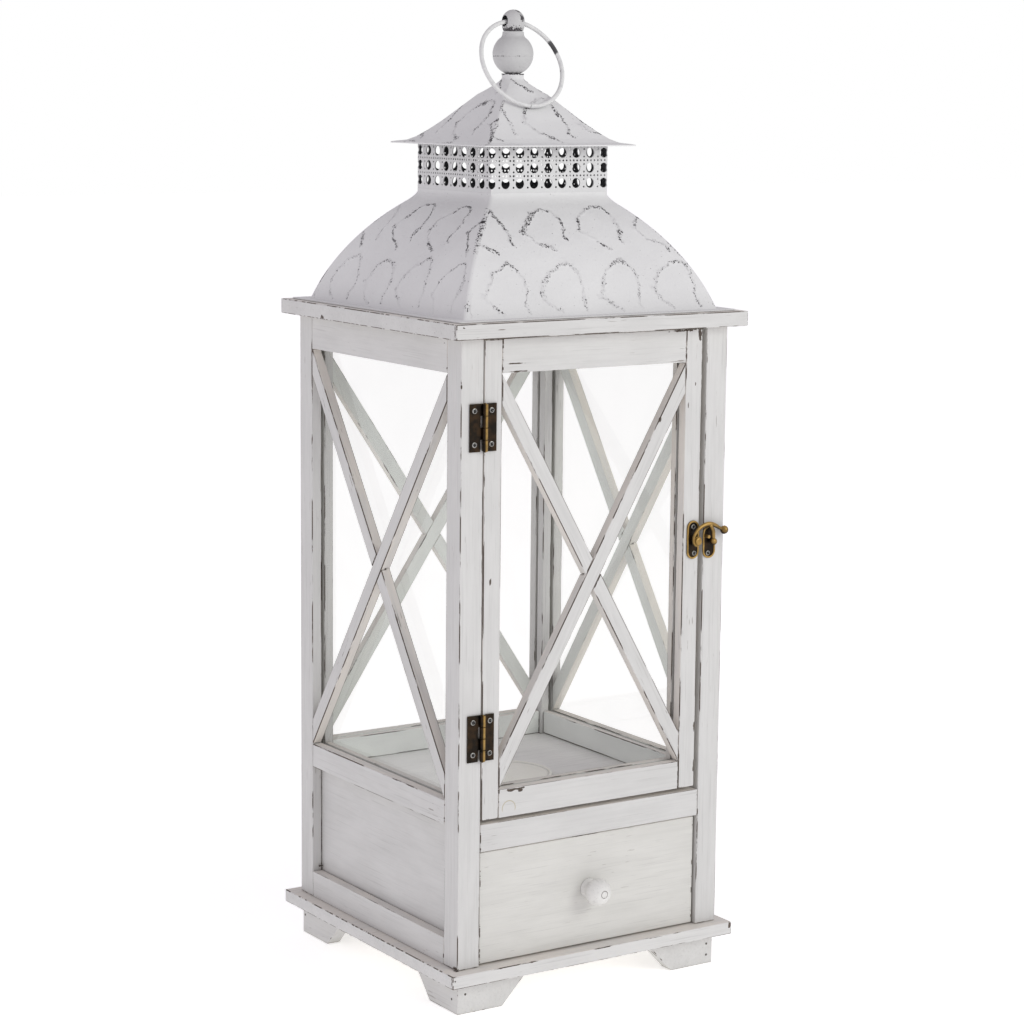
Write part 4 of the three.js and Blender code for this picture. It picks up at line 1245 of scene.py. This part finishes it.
def smooth_path(points, steps):
    """A Catmull-Rom path through [x, z, radius] points."""
    points = [np.array(p, dtype=float) for p in points]
    ends = [2 * points[0] - points[1]] + points + [2 * points[-1] - points[-2]]
    path = []
    for index in range(1, len(ends) - 2):
        p0, p1, p2, p3 = ends[index - 1:index + 3]
        for step in range(steps):
            t = step / steps
            path.append(0.5 * (2 * p1 + (p2 - p0) * t + (2 * p0 - 5 * p1 + 4 * p2 - p3) * t * t
                               + (3 * p1 - p0 - 3 * p2 + p3) * t ** 3))
    path.append(points[-1])
    return [point.tolist() for point in path]


def round_bar(points):
    """A closed round bar in the X-Z plane along [x, z, radius] points in millimetres."""
    path = smooth_path(points, 6)
    builder = bmesh.new()
    rings = []
    for index, (x, z, radius) in enumerate(path):
        ahead, behind = path[min(index + 1, len(path) - 1)], path[max(index - 1, 0)]
        forward = Vector((ahead[0] - behind[0], 0, ahead[1] - behind[1])).normalized()
        side = Vector((-forward.z, 0, forward.x))
        points = hoop(Vector((x, 0, z)), radius, side, 16)
        rings.append([builder.verts.new(place * MM) for place in points])
    stitch(builder, rings, False)
    builder.faces.new(rings[0])
    builder.faces.new(rings[-1][::-1])
    return builder


def latch_hook(pivot_x, pivot_z):
    low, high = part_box("latch_hook")
    y = (low.y + high.y) / 2
    builder = round_bar([(0.6, -3.3, 0.7), (-1.9, -3.2, 0.95), (-3.5, -0.6, 1.05), (-3.1, 3.4, 1.15),
                         (-0.8, 6.9, 1.25), (2.5, 9.8, 1.4), (6.4, 11.4, 1.55), (11.1, 11.9, 1.75),
                         (15.8, 10.6, 1.6), (19.4, 8.6, 1.35), (22.0, 7.4, 1.2)])
    prong = round_bar([(11.2, 11.6, 1.4), (13.0, 8.6, 1.6), (14.1, 5, 1.35), (14.6, 0.6, 1.25)])
    absorb(builder, prong)
    eye_low, eye_high = -0.0010, 0.0010
    eye = turned([(0.0018, eye_low), (0.0034, eye_low), (0.0036, eye_low * 0.6), (0.0036, eye_high * 0.6),
                  (0.0034, eye_high), (0.0018, eye_high), (0.0018, eye_low)], 36)
    absorb(builder, eye, UPRIGHT)
    thumb = turned([(0, -0.0031)] + arc((0, 0), 0.0031, -72, -20, 5)
                   + [(0.00315, -0.0006), (0.00315, 0.0006)]
                   + arc((0, 0), 0.0031, 20, 60, 4) + [(0.0012, 0.0031), (0, 0.0031)], 32)
    lean = Matrix.Rotation(math.radians(112), 4, "Y")
    absorb(builder, thumb, Matrix.Translation((0.0245, 0, 0.0065)) @ lean)
    tip = turned([(0, -0.0024), (0.0014, -0.0023), (0.0023, -0.0014), (0.0027, 0), (0.0025, 0.0012),
                  (0.0019, 0.0021), (0.0012, 0.0025), (0, 0.0026)], 32)
    absorb(builder, tip, Matrix.Translation((0.0147, 0, -0.0014)) @ UPRIGHT)
    mesh = mesh_of(builder, 40)

    # Painted highlight: the bar is bright where it looks up and to the front, towards the lamps, and
    # darker below.
    def rule(place, normal):
        lit = -0.55 * normal.y + 0.75 * normal.z
        return max(0.0, min(1.0, 0.15 + 0.9 * lit))

    mark_polish_and_highlight(mesh, rule)
    mesh.transform(Matrix.Translation((pivot_x, y, pivot_z)))
    new_piece("swing_hook", mesh, "latch_hook", BRASS, ["latch_hook"])


# For each hinge, the X of its screws in the post and in the door, and their Z.
HINGE_SCREWS = {"upper": ((-0.1043, -0.0903), (0.4330, 0.4094)),
                "lower": ((-0.1037, -0.0897), (0.2130, 0.1896))}


def hardware():
    for level in ("upper", "lower"):
        hinge_leaf(level, -1)
        hinge_leaf(level, 1)
    plate = PLATE_BACK_Y - LEAF_THICKNESS
    turns = iter((15, 40, 70, 5, 30, 60, 80, 20))
    for level, (columns, rows) in HINGE_SCREWS.items():
        for body, x in zip(("cabinet", "door"), columns):
            for height, z in zip(("top", "bottom"), rows):
                screw(f"{level}_{body}_screw_{height}", body, x, z, plate, next(turns), 0.00195)
    latch()


# Each nail's name, place in millimetres and radius.
FRONT_NAILS = [("foot_front_left", (-106.9, -113.4, 14.5), 0.0009),
               ("foot_front_right_low", (108.1, -113.4, 6.8), 0.0009),
               ("foot_front_right_high", (108.1, -113.4, 15.4), 0.0009),
               ("base_corner", (-121.9, -123.75, 29.6), 0.0006)]
LEFT_NAILS = [("foot_left_front", (-113.4, -105.6, 9.8), 0.0009),
              ("foot_left_back", (-113.4, 110.2, 14.2), 0.0009),
              ("panel_corner", (-109.95, 94.0, 57.0), 0.0009)]


def nails():
    for out_of, table in ((out_of_front, FRONT_NAILS), (out_of_left, LEFT_NAILS)):
        for name, place, radius in table:
            nail("nail_" + name, "cabinet", out_of(at(*place)), radius)


# ---------- small turned pieces ----------


def drawer_knob():
    """A turned wooden knob, with a small plug in the middle of its face."""
    low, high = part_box("drawer_knob")
    reach = high.y - low.y
    head = high.x
    profile = [(0, 0), (0.0072, 0), (0.0068, 0.0008), (0.0062, 0.0024), (0.0061, 0.0045),
               (0.0068, 0.0062)]
    profile += [(head - 0.0022, 0.0074), (head - 0.0008, 0.0090), (head, 0.0112), (head, 0.0128),
                (head - 0.0005, 0.0148), (head - 0.0016, 0.0168), (head - 0.0031, 0.0184),
                (head - 0.0048, reach - 0.0008), (0.0036, reach - 0.0003), (0.0029, reach - 0.0002),
                (0.00275, reach - 0.0009), (0.0025, reach - 0.0009), (0.0024, reach - 0.0001),
                (0.0019, reach), (0, reach)]
    mesh = mesh_of(turned(profile, 64), 40)
    mesh.transform(out_of_front((0, high.y, middle("drawer_knob").z)))
    knob = new_piece("turned_knob", mesh, "drawer", WOOD, ["drawer_knob"])
    dress_board(knob, (0, 1, 0), (1, 1, 1), 0.35, 0.6, random.Random(5))


def candle_plate():
    """A shallow pressed dish with a rolled rim, with painted shade on the wall below the rim and a faint
    grey ring on the rim's inner wall.
    """
    low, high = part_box("candle_plate")
    radius, tall = high.x, high.z - low.z
    floor, bead = 0.0009, 0.0009
    wall = radius - 0.0024
    profile = [(0, 0), (radius - 0.0016, 0), (radius - 0.0008, 0.0004)]
    profile += arc((radius - bead, tall - bead), bead, -60, 180, 10)
    profile += [(wall, floor + 0.0008), (radius - 0.0040, floor + 0.0002), (radius - 0.0060, floor),
                (0, floor)]
    mesh = mesh_of(turned(profile, 96), 40)

    def rim_shade_and_ring(place):
        # Painted shade on the outer wall under the rolled rim, and a grey ring on the rim's inner wall.
        away = place.xy.length
        if away > radius - bead and place.z < 0.0012:
            return 1.0
        return 0.3 if abs(away - wall) < 0.0003 and place.z > 0.0005 else 0.0

    attribute(mesh, "inside", [rim_shade_and_ring(v.co) for v in mesh.vertices])
    mesh.transform(Matrix.Translation((0, AXIS_Y, low.z)))
    new_piece("candle_dish", mesh, "cabinet", DISH_ENAMEL, ["candle_plate"])


# ---------- the lantern ----------

make_camera()
make_light()
make_floor()
dress_boards()
dress_glass()
roof_dome()
vent_collar()
roof_cap()
finial()
lifting_ring()
hardware()
nails()
drawer_knob()
candle_plate()
